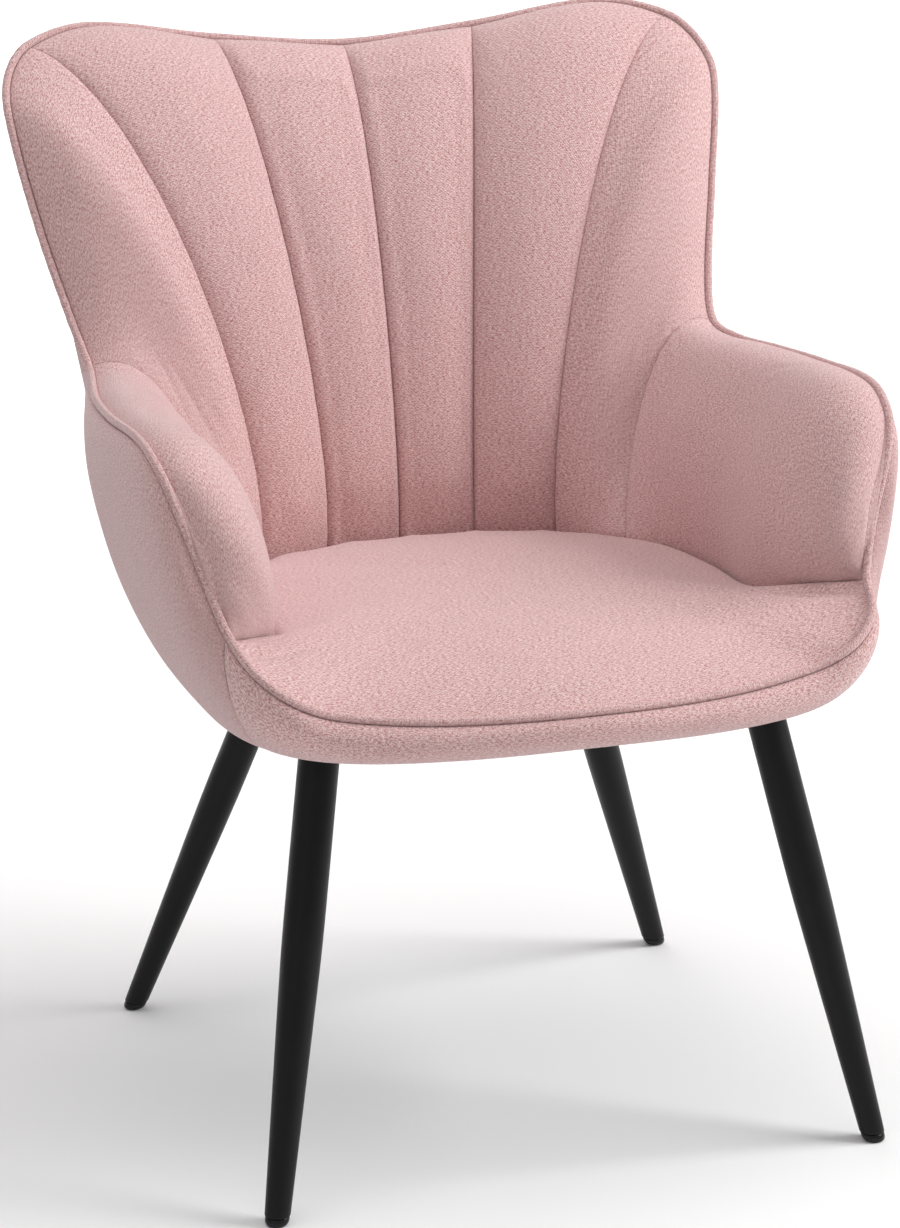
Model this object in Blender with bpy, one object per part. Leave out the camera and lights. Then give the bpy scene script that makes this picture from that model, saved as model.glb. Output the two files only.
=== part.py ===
"""Upholstered wing-back armchair on four splayed steel legs.

The chair is a tub. One piped edge runs round it as a closed loop: over the top of the back, down
the front of each wing, along each arm, down the arm's front and across the front of the seat.
Two sheets start at that edge: the padded inside, which ends at the seat, and the outside cover,
which ends at a hem under the seat board. The plywood stands between them.

The frame: metres, +X to the sitter's left, the front faces -Y, +Z up, the floor is z = 0.
"""

import math

import bmesh
import bpy
import numpy as np

# ---------------------------------------------------------------- driving dimensions, in metres
GAP = 0.0004
PIPING_RADIUS = 0.0035
EDGE_SETBACK = 0.005
COVER_THICKNESS = 0.002
SEAM_GAP = 0.0012
PAD_THICKNESS = 0.026
PAD_SHARE = 0.6  # at most this share of the wall is padding
PAD_EDGE = 0.001
COVER_ROOM = 0.0073
PLYWOOD_THICKNESS = 0.009
PLYWOOD_GAP = 0.0015
PLYWOOD_ROW = 3
CHANNEL_RISE = 0.012
WING_RISE = 0.008

HEM_Z = 0.361
HEM_HALF_WIDTH = 0.252
HEM_FRONT = 0.222
HEM_REAR = 0.258
HEM_SQUARENESS_FRONT = 3.5
HEM_SQUARENESS_REAR = 2.6

DUST_COVER_THICKNESS = 0.0012
BOARD_THICKNESS = 0.015
BOARD_BOTTOM_Z = HEM_Z + DUST_COVER_THICKNESS + GAP
BOARD_TOP_Z = BOARD_BOTTOM_Z + BOARD_THICKNESS
BASE_Z = BOARD_TOP_Z + GAP
BOARD_INSET = 0.007
SEAT_TOP_Z = 0.4365
SEAT_ROLL = 4.0
SEAT_RINGS = (0.35, 0.65, 0.84, 0.95)
SEAT_SIDE_ROWS = 5
SEAT_FIT = 0.985
PIPING_POINTS = 44
DUST_COVER_INSET = 0.005

LEG_TOP_RADIUS = 0.0165
LEG_FOOT_RADIUS = 0.0103
LEG_WALL = 0.0015
LEG_STRAIGHT_SHARE = 0.42
PLATE_THICKNESS = 0.004
PLATE_LENGTH = 0.092
PLATE_WIDTH = 0.060
PLATE_TAIL = 0.022
PLATE_TOP_Z = HEM_Z - GAP
PLATE_BOTTOM_Z = PLATE_TOP_Z - PLATE_THICKNESS
LEG_SIDES = 14
GLIDE_HEIGHT = 0.007
GLIDE_STEM = 0.014
GUSSET_THICKNESS = 0.004
GUSSET_REACH = 0.030
GUSSET_DROP = 0.022
GUSSET_NOSE = 0.004  # left square at the two sharp corners
BOLT_RADIUS = 0.003
BOLT_HEAD_RADIUS = 0.0058
BOLT_HEAD_HEIGHT = 0.0034
BOLT_HOLE_RADIUS = 0.0034
BOLT_SIDES = 8
BOLT_PATTERN = ((0.034, -0.021), (0.034, 0.021), (0.060, 0.0))
T_NUT_BARREL_RADIUS = 0.0046
T_NUT_DEPTH = 0.009
T_NUT_FLANGE_RADIUS = 0.0095
T_NUT_FLANGE_THICKNESS = 0.0015
T_NUT_HOLE_RADIUS = 0.0052

# The shapes below are laid out round the middle of the four feet. The middle of the chair's whole
# box is this much behind it, because the back leans.
CENTRE_BEHIND_FEET = 0.069

# Where each leg stands on the floor and how it leans: metres of travel for each metre of height.
LEGS = {
    "front_left": {"foot": (-0.255, -0.235), "lean": (0.191, 0.270), "plate_turn": 31.0},
    "front_right": {"foot": (0.255, -0.235), "lean": (-0.191, 0.270), "plate_turn": 149.0},
    "rear_left": {"foot": (-0.248, 0.239), "lean": (0.343, -0.217), "plate_turn": -32.0},
    "rear_right": {"foot": (0.248, 0.239), "lean": (-0.343, -0.217), "plate_turn": 212.0},
}

# The right half of the piped edge, from the middle of the back's top to the middle of the front.
PIPED_EDGE = {
    "back_middle": (0.000, 0.394, 0.823),
    "inner_seam": (0.119, 0.391, 0.834),
    "crest": (0.235, 0.377, 0.851),
    "wing_seam": (0.292, 0.356, 0.840),
    "wing_corner": (0.314, 0.335, 0.819),
    "wing_widest": (0.3205, 0.311, 0.790),
    "wing_middle": (0.306, 0.276, 0.702),
    "wing_low": (0.289, 0.239, 0.628),
    "elbow": (0.2815, 0.207, 0.592),
    "arm_rear": (0.288, 0.168, 0.5845),
    "arm_quarter": (0.300, 0.105, 0.587),
    "arm_middle": (0.308, 0.025, 0.5915),
    "arm_front": (0.3085, -0.070, 0.5955),
    "arm_corner": (0.304, -0.114, 0.579),
    "arm_face": (0.295, -0.132, 0.550),
    "arm_shin": (0.279, -0.144, 0.501),
    "pinch": (0.2665, -0.162, 0.461),
    "seat_corner": (0.256, -0.198, 0.440),
    "seat_turn": (0.232, -0.2175, 0.421),
    "seat_side": (0.195, -0.221, 0.406),
    "seat_quarter": (0.110, -0.238, 0.3985),
    "seat_middle": (0.000, -0.250, 0.399),
}

# How the outside cover leaves the piping, where its hem is (degrees round from +X) and how it
# arrives there (outward, up).
OUTSIDE = {
    "back_middle": ((0.0, 0.010, -0.033), 90.0, (0.012, 0.144)),
    "inner_seam": ((0.0, 0.010, -0.035), 69.0, (0.012, 0.150)),
    "crest": ((-0.002, 0.013, -0.045), 57.0, (0.012, 0.185)),
    "wing_seam": ((-0.012, 0.026, -0.032), 49.0, (0.016, 0.195)),
    "wing_widest": ((-0.024, 0.034, -0.010), 42.0, (0.022, 0.185)),
    "wing_middle": ((-0.020, 0.042, 0.0), 35.0, (0.028, 0.150)),
    "elbow": ((0.006, 0.046, -0.010), 25.0, (0.042, 0.105)),
    "arm_quarter": ((0.024, 0.008, -0.012), 14.0, (0.060, 0.080)),
    "arm_middle": ((0.023, 0.0, -0.012), 1.0, (0.060, 0.076)),
    "arm_front": ((0.021, -0.004, -0.012), -15.0, (0.059, 0.070)),
    "arm_face": ((0.017, -0.008, -0.014), -25.0, (0.053, 0.046)),
    "pinch": ((0.013, -0.009, -0.014), -33.0, (0.046, 0.018)),
    "seat_turn": ((0.008, -0.013, -0.009), -43.0, (0.044, 0.009)),
    "seat_quarter": ((0.002, -0.014, -0.006), -67.0, (0.043, 0.008)),
    "seat_middle": ((0.0, -0.014, -0.006), -90.0, (0.043, 0.008)),
}

# How the inside leaves the piping, where it meets the seat and how it arrives there.
INSIDE = {
    "back_middle": ((0.0, -0.079, -0.023), (0.0, 0.231, 0.410), (0.0, -0.002, 0.120)),
    "inner_seam": ((-0.019, -0.073, -0.018), (0.0655, 0.2275, 0.410), (-0.004, -0.005, 0.120)),
    "wing_seam": ((-0.090, -0.062, -0.022), (0.132, 0.204, 0.411), (-0.010, -0.006, 0.120)),
    "elbow": ((-0.066, -0.022, 0.030), (0.167, 0.126, 0.427), (0.023, 0.064, 0.073)),
    "arm_quarter": ((-0.050, -0.002, 0.032), (0.196, 0.078, 0.429), (-0.004, 0.010, 0.120)),
    "arm_middle": ((-0.046, -0.004, 0.030), (0.208, 0.010, 0.430), (-0.004, 0.006, 0.125)),
    "arm_front": ((-0.044, -0.012, 0.026), (0.207, -0.068, 0.434), (-0.006, -0.012, 0.120)),
    "arm_face": ((-0.034, -0.024, 0.008), (0.219, -0.116, 0.441), (-0.004, -0.034, 0.070)),
    "arm_shin": ((-0.018, -0.020, 0.002), (0.238, -0.137, 0.448), (0.0, -0.020, 0.030)),
    "pinch": ((-0.008, 0.002, -0.002), (0.262, -0.157, 0.456), (0.001, -0.001, 0.002)),
}
# Below the seat the wall goes on down to the board and stands there at this x, y.
WALL_FOOT = {
    "back_middle": ((0.0, 0.231),),
    "inner_seam": ((0.066, 0.229),),
    "wing_seam": ((0.134, 0.207),),
    "elbow": ((0.172, 0.132),),
    "arm_quarter": ((0.203, 0.080),),
    "arm_middle": ((0.216, 0.012),),
    "arm_front": ((0.214, -0.066),),
    "arm_face": ((0.222, -0.104),),
    "arm_shin": ((0.229, -0.118),),
    "pinch": ((0.237, -0.128),),
}
# How the seat's top leaves the piping along the front.
SEAT_FRONT = {
    "pinch": ((-0.008, 0.002, -0.002),),
    "seat_corner": ((-0.007, 0.006, 0.0),),
    "seat_turn": ((-0.004, 0.008, 0.0),),
    "seat_quarter": ((-0.001, 0.009, 0.0),),
    "seat_middle": ((0.0, 0.009, 0.0),),
}
SEAM_COLUMNS = ("back_middle", "inner_seam", "wing_seam", "elbow")
VISIBLE_SHARE = 0.86  # of each inside column: the rest is hidden behind the seat


# ---------------------------------------------------------------- curves
def unit(vectors):
    """The vectors at length 1."""
    return vectors / np.linalg.norm(vectors, axis=-1, keepdims=True)


def smooth_through(keys, values, at):
    """A smooth curve through values at keys, read at the numbers in at (Catmull-Rom)."""
    keys = np.asarray(keys, float)
    values = np.asarray(values, float)
    slopes = np.empty_like(values)
    slopes[1:-1] = (values[2:] - values[:-2]) / (keys[2:] - keys[:-2])[:, None]
    slopes[0] = (values[1] - values[0]) / (keys[1] - keys[0])
    slopes[-1] = (values[-1] - values[-2]) / (keys[-1] - keys[-2])
    at = np.clip(np.asarray(at, float), keys[0], keys[-1])
    low = np.clip(np.searchsorted(keys, at, side="right") - 1, 0, len(keys) - 2)
    span = keys[low + 1] - keys[low]
    s = (at - keys[low]) / span
    s, span = s[..., None], span[..., None]
    return (
        (2 * s**3 - 3 * s**2 + 1) * values[low]
        + (s**3 - 2 * s**2 + s) * span * slopes[low]
        + (-2 * s**3 + 3 * s**2) * values[low + 1]
        + (s**3 - s**2) * span * slopes[low + 1]
    )


def bezier(p0, p1, p2, p3, v):
    """The cubic with these four points, read at v from 0 to 1."""
    v = v[..., None]
    return (1 - v) ** 3 * p0 + 3 * (1 - v) ** 2 * v * p1 + 3 * (1 - v) * v**2 * p2 + v**3 * p3


EDGE_NAMES = list(PIPED_EDGE)
EDGE_POINTS = np.array(list(PIPED_EDGE.values()))
EDGE_KEYS = np.concatenate([[0], np.cumsum(np.linalg.norm(np.diff(EDGE_POINTS, axis=0), axis=1))])
KEY = dict(zip(EDGE_NAMES, EDGE_KEYS))
LAST = KEY["seat_middle"]


def piped_edge(t):
    """Points of the piped edge at distances t along its right half."""
    mirror = EDGE_POINTS[[1, -2]] * [-1, 1, 1]
    keys = np.concatenate([[-EDGE_KEYS[1]], EDGE_KEYS, [2 * LAST - EDGE_KEYS[-2]]])
    return smooth_through(keys, np.concatenate([mirror[:1], EDGE_POINTS, mirror[1:]]), t)


def rows_at(table, column, t):
    """One column of a table of named rows, read smoothly at the distances t."""
    keys = [KEY[name] for name in table]
    values = [np.atleast_1d(row[column]) for row in table.values()]
    return smooth_through(keys, values, t)


def hem(angle):
    """Points of the hem, a rounded rectangle, at these angles in radians."""
    c, s = np.cos(angle), np.sin(angle)
    depth = np.where(s < 0, HEM_FRONT, HEM_REAR)
    power = np.where(s < 0, HEM_SQUARENESS_FRONT, HEM_SQUARENESS_REAR)
    radius = (np.abs(c / HEM_HALF_WIDTH) ** power + np.abs(s / depth) ** power) ** (-1 / power)
    return np.stack([radius * c, radius * s, np.full_like(radius, HEM_Z)], axis=-1)


def inside_leave(t):
    """How the padding leaves the piping: the wall's padding as far as the pinch, then the seat's."""
    wall = rows_at(INSIDE, 0, t)
    seat = rows_at(SEAT_FRONT, 0, t)
    return np.where((t <= KEY["pinch"])[..., None], wall, seat)


def into_the_wall(t):
    """The direction from the piping into the upholstery behind it.

    Seen along the piping, it halves the angle between the padding and the outside cover.
    """
    step = 1e-3
    along = piped_edge(t + step) - piped_edge(t - step)
    behind_padding = unit(np.cross(along, inside_leave(t)))
    behind_cover = unit(np.cross(rows_at(OUTSIDE, 0, t), along))
    return unit(behind_padding + behind_cover)


def sheet_start(t, leaving):
    """Where a sheet that leaves the piping in this direction starts, clear of the piping."""
    inward = into_the_wall(t)
    along = unit(leaving)
    cosine = (inward * along).sum(-1, keepdims=True)
    setback = np.maximum(0, PIPING_RADIUS + 4 * GAP - EDGE_SETBACK * cosine)
    return piped_edge(t) + setback * inward + EDGE_SETBACK * along


def outside(t, v):
    """The outside cover's surface: v runs from 0 at the piping to 1 at the hem."""
    leave = rows_at(OUTSIDE, 0, t)
    angle = np.radians(rows_at(OUTSIDE, 1, t)[..., 0])
    end = hem(angle)
    arrive = rows_at(OUTSIDE, 2, t)
    outward = np.stack([np.cos(angle), np.sin(angle), np.zeros_like(angle)], axis=-1)
    before_end = end + outward * arrive[..., :1] + np.array([0, 0, 1.0]) * arrive[..., 1:]
    return bezier(sheet_start(t, leave), piped_edge(t) + leave, before_end, end, v)


def seat_line(t):
    """Where the inside meets the seat."""
    return rows_at(INSIDE, 1, t)


def inside_column(t, s):
    """The inside without its puffed channels: s is 0 at the piping and 1 at the seat."""
    leave = rows_at(INSIDE, 0, t)
    foot = seat_line(t)
    return bezier(sheet_start(t, leave), piped_edge(t) + leave, foot + rows_at(INSIDE, 2, t), foot, s)


def channel_rise(t):
    """How far the padding rises between two seams: 0 on a seam, most in the middle of a channel."""
    rise = np.zeros_like(t)
    for first, second in zip(SEAM_COLUMNS, SEAM_COLUMNS[1:]):
        within = (t >= KEY[first]) & (t <= KEY[second])
        bow = np.abs(np.sin(np.pi * (t - KEY[first]) / (KEY[second] - KEY[first])))
        full = (WING_RISE if second == "elbow" else CHANNEL_RISE) * bow
        rise = np.where(within, full, rise)
    return rise


def inside(t, v):
    """The padded inside: v is 0 at the piping, VISIBLE_SHARE at the seat and 1 at the board."""
    s = np.clip(v / VISIBLE_SHARE, 0, 1)
    step = 1e-3
    here = inside_column(t, s)
    across = inside_column(t + step, s) - inside_column(t - step, s)
    down = inside_column(t, np.minimum(s + step, 1)) - inside_column(t, np.maximum(s - step, 0))
    facing = unit(np.cross(down, across) + [0, -1e-9, 0])
    fade = np.clip(s * 6, 0, 1) ** 0.5 * np.clip((1.08 - s) * 5, 0, 1)
    here = here + facing * (channel_rise(t) * fade)[..., None]
    foot = rows_at(WALL_FOOT, 0, t)
    foot = np.concatenate([foot, np.full_like(foot[..., :1], BASE_Z)], axis=-1)
    tail = np.clip((v - VISIBLE_SHARE) / (1 - VISIBLE_SHARE), 0, 1)[..., None]
    return here + tail * (foot - seat_line(t))


def both_sides(surface, t, *rest):
    """A surface of the right half, read at signed distances: negative ones are mirrored."""
    points = surface(np.abs(t), *rest)
    points[..., 0] *= np.where(t < 0, -1, 1)
    return points


# ---------------------------------------------------------------- meshes
def principled(name, color, roughness, metallic=0.0):
    """A Principled material."""
    material = bpy.data.materials.get(name) or bpy.data.materials.new(name)
    material.use_nodes = True
    shader = material.node_tree.nodes["Principled BSDF"]
    shader.inputs["Base Color"].default_value = (*color, 1)
    shader.inputs["Roughness"].default_value = roughness
    shader.inputs["Metallic"].default_value = metallic
    material.diffuse_color = (*color, 1)
    return material


def upholstery_fabric():
    return principled("upholstery_fabric", (0.66, 0.40, 0.39), 0.95)


def piping_fabric():
    return principled("piping_fabric", (0.62, 0.36, 0.35), 0.95)


def covered_foam():
    return principled("covered_foam", (0.68, 0.42, 0.41), 0.95)


def bent_plywood():
    return principled("bent_plywood", (0.62, 0.45, 0.27), 0.7)


def solid_wood():
    return principled("solid_wood", (0.70, 0.54, 0.35), 0.7)


def dust_cloth():
    return principled("dust_cloth", (0.02, 0.02, 0.02), 1.0)


def black_powder_coat():
    return principled("black_powder_coat", (0.012, 0.012, 0.013), 0.42, 0.3)


def glide_plastic():
    return principled("glide_plastic", (0.01, 0.01, 0.01), 0.25)


def zinc_plated_steel():
    return principled("zinc_plated_steel", (0.6, 0.6, 0.58), 0.35, 1.0)


def solid(name, points, faces, material, smooth_angle=40.0):
    """One closed body from points and faces, with its faces turned outward."""
    mesh = bpy.data.meshes.new(name)
    mesh.from_pydata([tuple(p) for p in points], [], faces)
    shape = bmesh.new()
    shape.from_mesh(mesh)
    bmesh.ops.remove_doubles(shape, verts=shape.verts, dist=1e-6)
    bmesh.ops.recalc_face_normals(shape, faces=shape.faces)
    if shape.calc_volume(signed=True) < 0:
        bmesh.ops.reverse_faces(shape, faces=shape.faces)
    shape.to_mesh(mesh)
    shape.free()
    mesh.shade_smooth()
    mesh.set_sharp_from_angle(angle=math.radians(smooth_angle))
    mesh.materials.append(material)
    made = bpy.data.objects.new(name, mesh)
    bpy.context.scene.collection.objects.link(made)
    return made


def slab(name, near, far, material):
    """The closed body between two grids of points with the same rows and columns.

    Each four-sided patch is split along a diagonal that mirrors across the chair's middle, so that
    neighbouring layers bend along the same lines.
    """
    rows, columns = near.shape[:2]
    count = rows * columns
    points = np.concatenate([near.reshape(-1, 3), far.reshape(-1, 3)])
    faces = []
    for i in range(rows - 1):
        for j in range(columns - 1):
            a = i * columns + j
            b, c, d = a + 1, a + columns + 1, a + columns
            on_left = points[a][0] + points[c][0] < 0
            halves = [(a, b, d), (b, c, d)] if on_left else [(a, b, c), (a, c, d)]
            faces += halves
            faces += [tuple(count + k for k in reversed(half)) for half in halves]
    border = list(range(columns))
    border += [i * columns + columns - 1 for i in range(1, rows)]
    border += [(rows - 1) * columns + j for j in range(columns - 2, -1, -1)]
    border += [i * columns for i in range(rows - 2, 0, -1)]
    for a, b in zip(border, border[1:] + border[:1]):
        if a < b:
            faces += [(a, b, count + b), (a, count + b, count + a)]
        else:
            faces += [(a, b, count + a), (b, count + b, count + a)]
    return solid(name, points, faces, material)


def turned(name, profile, sides, material):
    """A body turned round +Z from (radius, height) points; a radius of 0 closes an end."""
    points = []
    rings = []
    for radius, height in profile:
        if radius == 0:
            rings.append([len(points)])
            points.append((0, 0, height))
            continue
        rings.append(list(range(len(points), len(points) + sides)))
        for k in range(sides):
            turn = 2 * math.pi * k / sides
            points.append((radius * math.cos(turn), radius * math.sin(turn), height))
    faces = []
    if profile[0][0] and profile[-1][0]:
        rings.append(rings[0])
    for low, high in zip(rings, rings[1:]):
        for k in range(sides):
            n = (k + 1) % sides
            if len(low) == 1:
                faces.append((low[0], high[n], high[k]))
            elif len(high) == 1:
                faces.append((low[k], low[n], high[0]))
            else:
                faces.append((low[k], low[n], high[n], high[k]))
    return solid(name, points, faces, material, 30.0)


def prism(name, outline, bottom, top, material):
    """A flat plate with this outline between two heights."""
    count = len(outline)
    points = [(x, y, bottom) for x, y in outline] + [(x, y, top) for x, y in outline]
    faces = [tuple(range(count)), tuple(range(2 * count - 1, count - 1, -1))]
    faces += [(k, (k + 1) % count, count + (k + 1) % count, count + k) for k in range(count)]
    return solid(name, points, faces, material)


def cut_holes(target, centres, radius, low, high, name):
    """Round holes in a piece, cut by upright cylinders."""
    sides = 10
    points = []
    faces = []
    for x, y in centres:
        base = len(points)
        for height in (low, high):
            for k in range(sides):
                turn = 2 * math.pi * k / sides
                points.append((x + radius * math.cos(turn), y + radius * math.sin(turn), height))
        faces.append(tuple(base + k for k in reversed(range(sides))))
        faces.append(tuple(base + sides + k for k in range(sides)))
        for k in range(sides):
            n = (k + 1) % sides
            faces.append((base + k, base + n, base + sides + n, base + sides + k))
    cutter = solid(f"{target.name}_{name}_cutter", points, faces, target.data.materials[0])
    cutter.hide_render = True
    cutter.display_type = "WIRE"
    cut = target.modifiers.new(f"{name}_holes", "BOOLEAN")
    cut.operation = "DIFFERENCE"
    cut.object = cutter


# ---------------------------------------------------------------- upholstery
PANEL_COLUMNS = {
    ("back_middle", "inner_seam"): 7,
    ("inner_seam", "wing_seam"): 8,
    ("wing_seam", "elbow"): 10,
    ("elbow", "pinch"): 20,
}
PANELS = list(PANEL_COLUMNS)
FRONT_COLUMNS = 9
BORDER_ROWS = np.array([0, 0.15, 0.35, 0.55, 0.75, 0.9, 1.0])
DOWN = np.array([0, 0.05, 0.13, 0.25, 0.39, 0.53, 0.66, 0.77, VISIBLE_SHARE, 1.0])
COVER_ROWS = np.array([0, 0.04, 0.09, 0.14, 0.18, 0.22, 0.27, 0.34, 0.43, 0.54, 0.67, 0.8, 0.9, 1.0])


def panel_columns(panel, gap=0.0):
    """Distances along the piped edge of one panel's columns, a gap inside its seams."""
    first, last = KEY[panel[0]], KEY[panel[1]]
    t = np.linspace(first, last, PANEL_COLUMNS[panel])
    t[0] += gap
    t[-1] -= gap
    return t


def wall_columns():
    """The columns of the whole right half of the wall."""
    return np.unique(np.concatenate([panel_columns(panel) for panel in PANELS]))


def wall_layers(t, v):
    """The inside surface, the way across the wall to the outside, and the wall's thickness."""
    t, v = np.meshgrid(np.sort(t), v, indexing="ij")
    near = both_sides(inside, t, v)
    far = both_sides(outside, t, v)
    thickness = np.linalg.norm(far - near, axis=-1, keepdims=True)
    return near, (far - near) / thickness, thickness


def pad_depth(thickness, v):
    """How deep the padding is across the wall, leaving room for the plywood and the cover."""
    behind = np.where(v >= DOWN[PLYWOOD_ROW], PLYWOOD_THICKNESS + 2 * PLYWOOD_GAP, 0)
    room = np.minimum(thickness - behind[None, :, None] - COVER_ROOM, PAD_SHARE * thickness)
    return np.clip(room, PAD_EDGE, PAD_THICKNESS)


def stand_on_board(grid):
    """The grid with nothing lower than the board's top, where its last row stands."""
    lifted = grid.copy()
    lifted[..., 2] = np.maximum(lifted[..., 2], BASE_Z)
    lifted[:, -1, 2] = BASE_Z
    return lifted


def pad(name, t):
    """Padding and its inner cover, on a stretch of the wall."""
    near, across, thickness = wall_layers(t, DOWN)
    far = near + across * pad_depth(thickness, DOWN)
    slab(name, stand_on_board(near), stand_on_board(far), upholstery_fabric())


def plywood(name, t):
    """A bent plywood panel behind the padding."""
    v = DOWN[PLYWOOD_ROW:]
    near, across, thickness = wall_layers(t, v)
    start = pad_depth(thickness, v) + PLYWOOD_GAP
    front = near + across * start
    rear = near + across * (start + PLYWOOD_THICKNESS)
    slab(name, stand_on_board(front), stand_on_board(rear), bent_plywood())


def cover_faces(t, v, depth):
    """The outside cover's surface, and the same surface moved inward by a depth."""
    step = 1e-3
    t = np.broadcast_to(t, np.broadcast(t, v).shape)
    v = np.broadcast_to(v, t.shape)
    distance = np.abs(t)
    face = outside(distance, v)
    along = outside(np.minimum(distance + step, LAST), v) - outside(np.maximum(distance - step, 0), v)
    down = outside(distance, np.minimum(v + step, 1)) - outside(distance, np.maximum(v - step, 0))
    inward = unit(np.cross(down, along))
    mirror = np.stack([np.where(t < 0, -1, 1), np.ones_like(t), np.ones_like(t)], axis=-1)
    return face * mirror, (face + inward * depth) * mirror


def outside_cover(name, t, v):
    """A panel of the outside cover."""
    t, v = np.meshgrid(t, v, indexing="ij")
    face, lining = cover_faces(t, v, COVER_THICKNESS)
    slab(name, face, lining, upholstery_fabric())


def make_back_and_arm_padding():
    names = ("back_channel_inner", "back_channel_outer", "wing_pad", "arm_pad")
    for side, sign in (("left", -1), ("right", 1)):
        for name, panel in zip(names, PANELS):
            pad(f"{name}_{side}", sign * panel_columns(panel, GAP / 2))


def make_plywood():
    t = wall_columns()
    back = t[t <= KEY["wing_widest"] + 0.03]
    plywood("back_plywood", np.concatenate([-back[1:], back]))
    arm = panel_columns(PANELS[3])
    arm = arm[(arm > KEY["elbow"] + 0.06) & (arm < KEY["arm_front"])]
    plywood("arm_plywood_right", arm)
    plywood("arm_plywood_left", -arm)


def front_columns():
    """Distances across the front, from the right pinch to the left one; the left are negative."""
    right = np.linspace(KEY["pinch"], LAST, FRONT_COLUMNS)
    return np.concatenate([right, -right[-2::-1]])


def make_outside_covers():
    t = wall_columns()
    back = t[t < KEY["wing_middle"]]
    outside_cover("outside_back_cover", np.concatenate([-back[:0:-1], back]), COVER_ROWS)
    side = t[t >= back[-1]].copy()
    side[0] += SEAM_GAP
    outside_cover("outside_side_cover_right", side, COVER_ROWS)
    outside_cover("outside_side_cover_left", -side[::-1], COVER_ROWS)
    front = front_columns()
    front[0] += SEAM_GAP
    front[-1] -= SEAM_GAP
    outside_cover("front_border", front, BORDER_ROWS)


def make_piping():
    """The piped edge: a cord in its own cover, as one closed loop."""
    right = np.linspace(0, LAST, PIPING_POINTS)
    loop = np.concatenate([piped_edge(right), piped_edge(right[-2:0:-1]) * [-1, 1, 1]])
    curve = bpy.data.curves.new("piping", "CURVE")
    curve.dimensions = "3D"
    curve.bevel_depth = PIPING_RADIUS
    curve.bevel_resolution = 1
    spline = curve.splines.new("POLY")
    spline.points.add(len(loop) - 1)
    for point, place in zip(spline.points, loop):
        point.co = (*place, 1)
    spline.use_cyclic_u = True
    curve.materials.append(piping_fabric())
    bpy.context.scene.collection.objects.link(bpy.data.objects.new("piping", curve))


def seat_side_wall(t):
    """Columns down the seat pad's side where the back and the arms stand round it."""
    rows = np.linspace(VISIBLE_SHARE, 1, SEAT_SIDE_ROWS)
    t, v = np.meshgrid(t, rows, indexing="ij")
    edge = both_sides(inside, t, v)
    return edge * [SEAT_FIT, SEAT_FIT, 1]


def seat_side_front(t):
    """Columns down the seat pad's side behind the front border."""
    v = np.linspace(0, 1, 41)
    columns = []
    for distance in t:
        _, inner = cover_faces(np.full_like(v, distance), v, COVER_THICKNESS + 6 * GAP)
        last = np.interp(-BASE_Z, -inner[:, 2], v)
        rows = np.linspace(0, last, SEAT_SIDE_ROWS - 1)
        column = np.stack([np.interp(rows, v, inner[:, k]) for k in range(3)], axis=-1)
        start = column[0] * [1, 1, 0] + [0, 0, piped_edge(np.abs(distance))[2]]
        start -= np.append(unit(start[:2]) * 1.5 * EDGE_SETBACK, 0.4 * EDGE_SETBACK)
        columns.append(np.concatenate([start[None], column]))
    return np.array(columns)


def make_seat():
    """The seat pad: a crowned top inside the wall and the piping, on a flat underside."""
    wall = wall_columns()
    right = seat_side_wall(wall)
    front = seat_side_front(front_columns()[1:-1])
    left = seat_side_wall(-wall[:0:-1])
    columns = np.concatenate([right, front, left])
    columns[:, -1, 2] = BASE_Z
    outline = columns[:, 0]
    centre = np.array([0, outline[:, 1].mean() + 0.02, SEAT_TOP_Z])
    rings = []
    for share in SEAT_RINGS:
        ring = centre + (outline - centre) * share
        ring[:, 2] = SEAT_TOP_Z + (outline[:, 2] - SEAT_TOP_Z) * share**SEAT_ROLL
        rings.append(ring)
    rings += [columns[:, row] for row in range(SEAT_SIDE_ROWS)]
    count = len(outline)
    points = [tuple(centre)]
    points += [tuple(p) for ring in rings for p in ring]
    points.append((centre[0], centre[1], BASE_Z))
    faces = []
    for k in range(count):
        n = (k + 1) % count
        faces.append((0, 1 + k, 1 + n))
        for row in range(len(rings) - 1):
            low, high = 1 + row * count, 1 + (row + 1) * count
            faces.append((low + k, high + k, high + n, low + n))
        final = 1 + (len(rings) - 1) * count
        faces.append((final + k, len(points) - 1, final + n))
    solid("seat_pad", points, faces, covered_foam())


# ---------------------------------------------------------------- the base under the upholstery
def board_outline(inset, count=48):
    """The hem's shape moved inward, as x, y points."""
    edge = hem(np.linspace(0, 2 * np.pi, count, endpoint=False))[:, :2]
    return edge - unit(edge) * inset


def leg_axis(leg, z):
    """The x, y of a leg's axis at a height."""
    foot, lean = leg["foot"], leg["lean"]
    return foot[0] + lean[0] * z, foot[1] + lean[1] * z


def plate_point(leg, along, across):
    """A point of a leg's plate: metres inward from the leg's axis, and metres to the side."""
    x, y = leg_axis(leg, PLATE_BOTTOM_Z)
    turn = math.radians(leg["plate_turn"])
    c, s = math.cos(turn), math.sin(turn)
    return x + along * c - across * s, y + along * s + across * c


def bolt_places(leg):
    return [plate_point(leg, along, across) for along, across in BOLT_PATTERN]


def all_bolt_places():
    return [place for leg in LEGS.values() for place in bolt_places(leg)]


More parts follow.
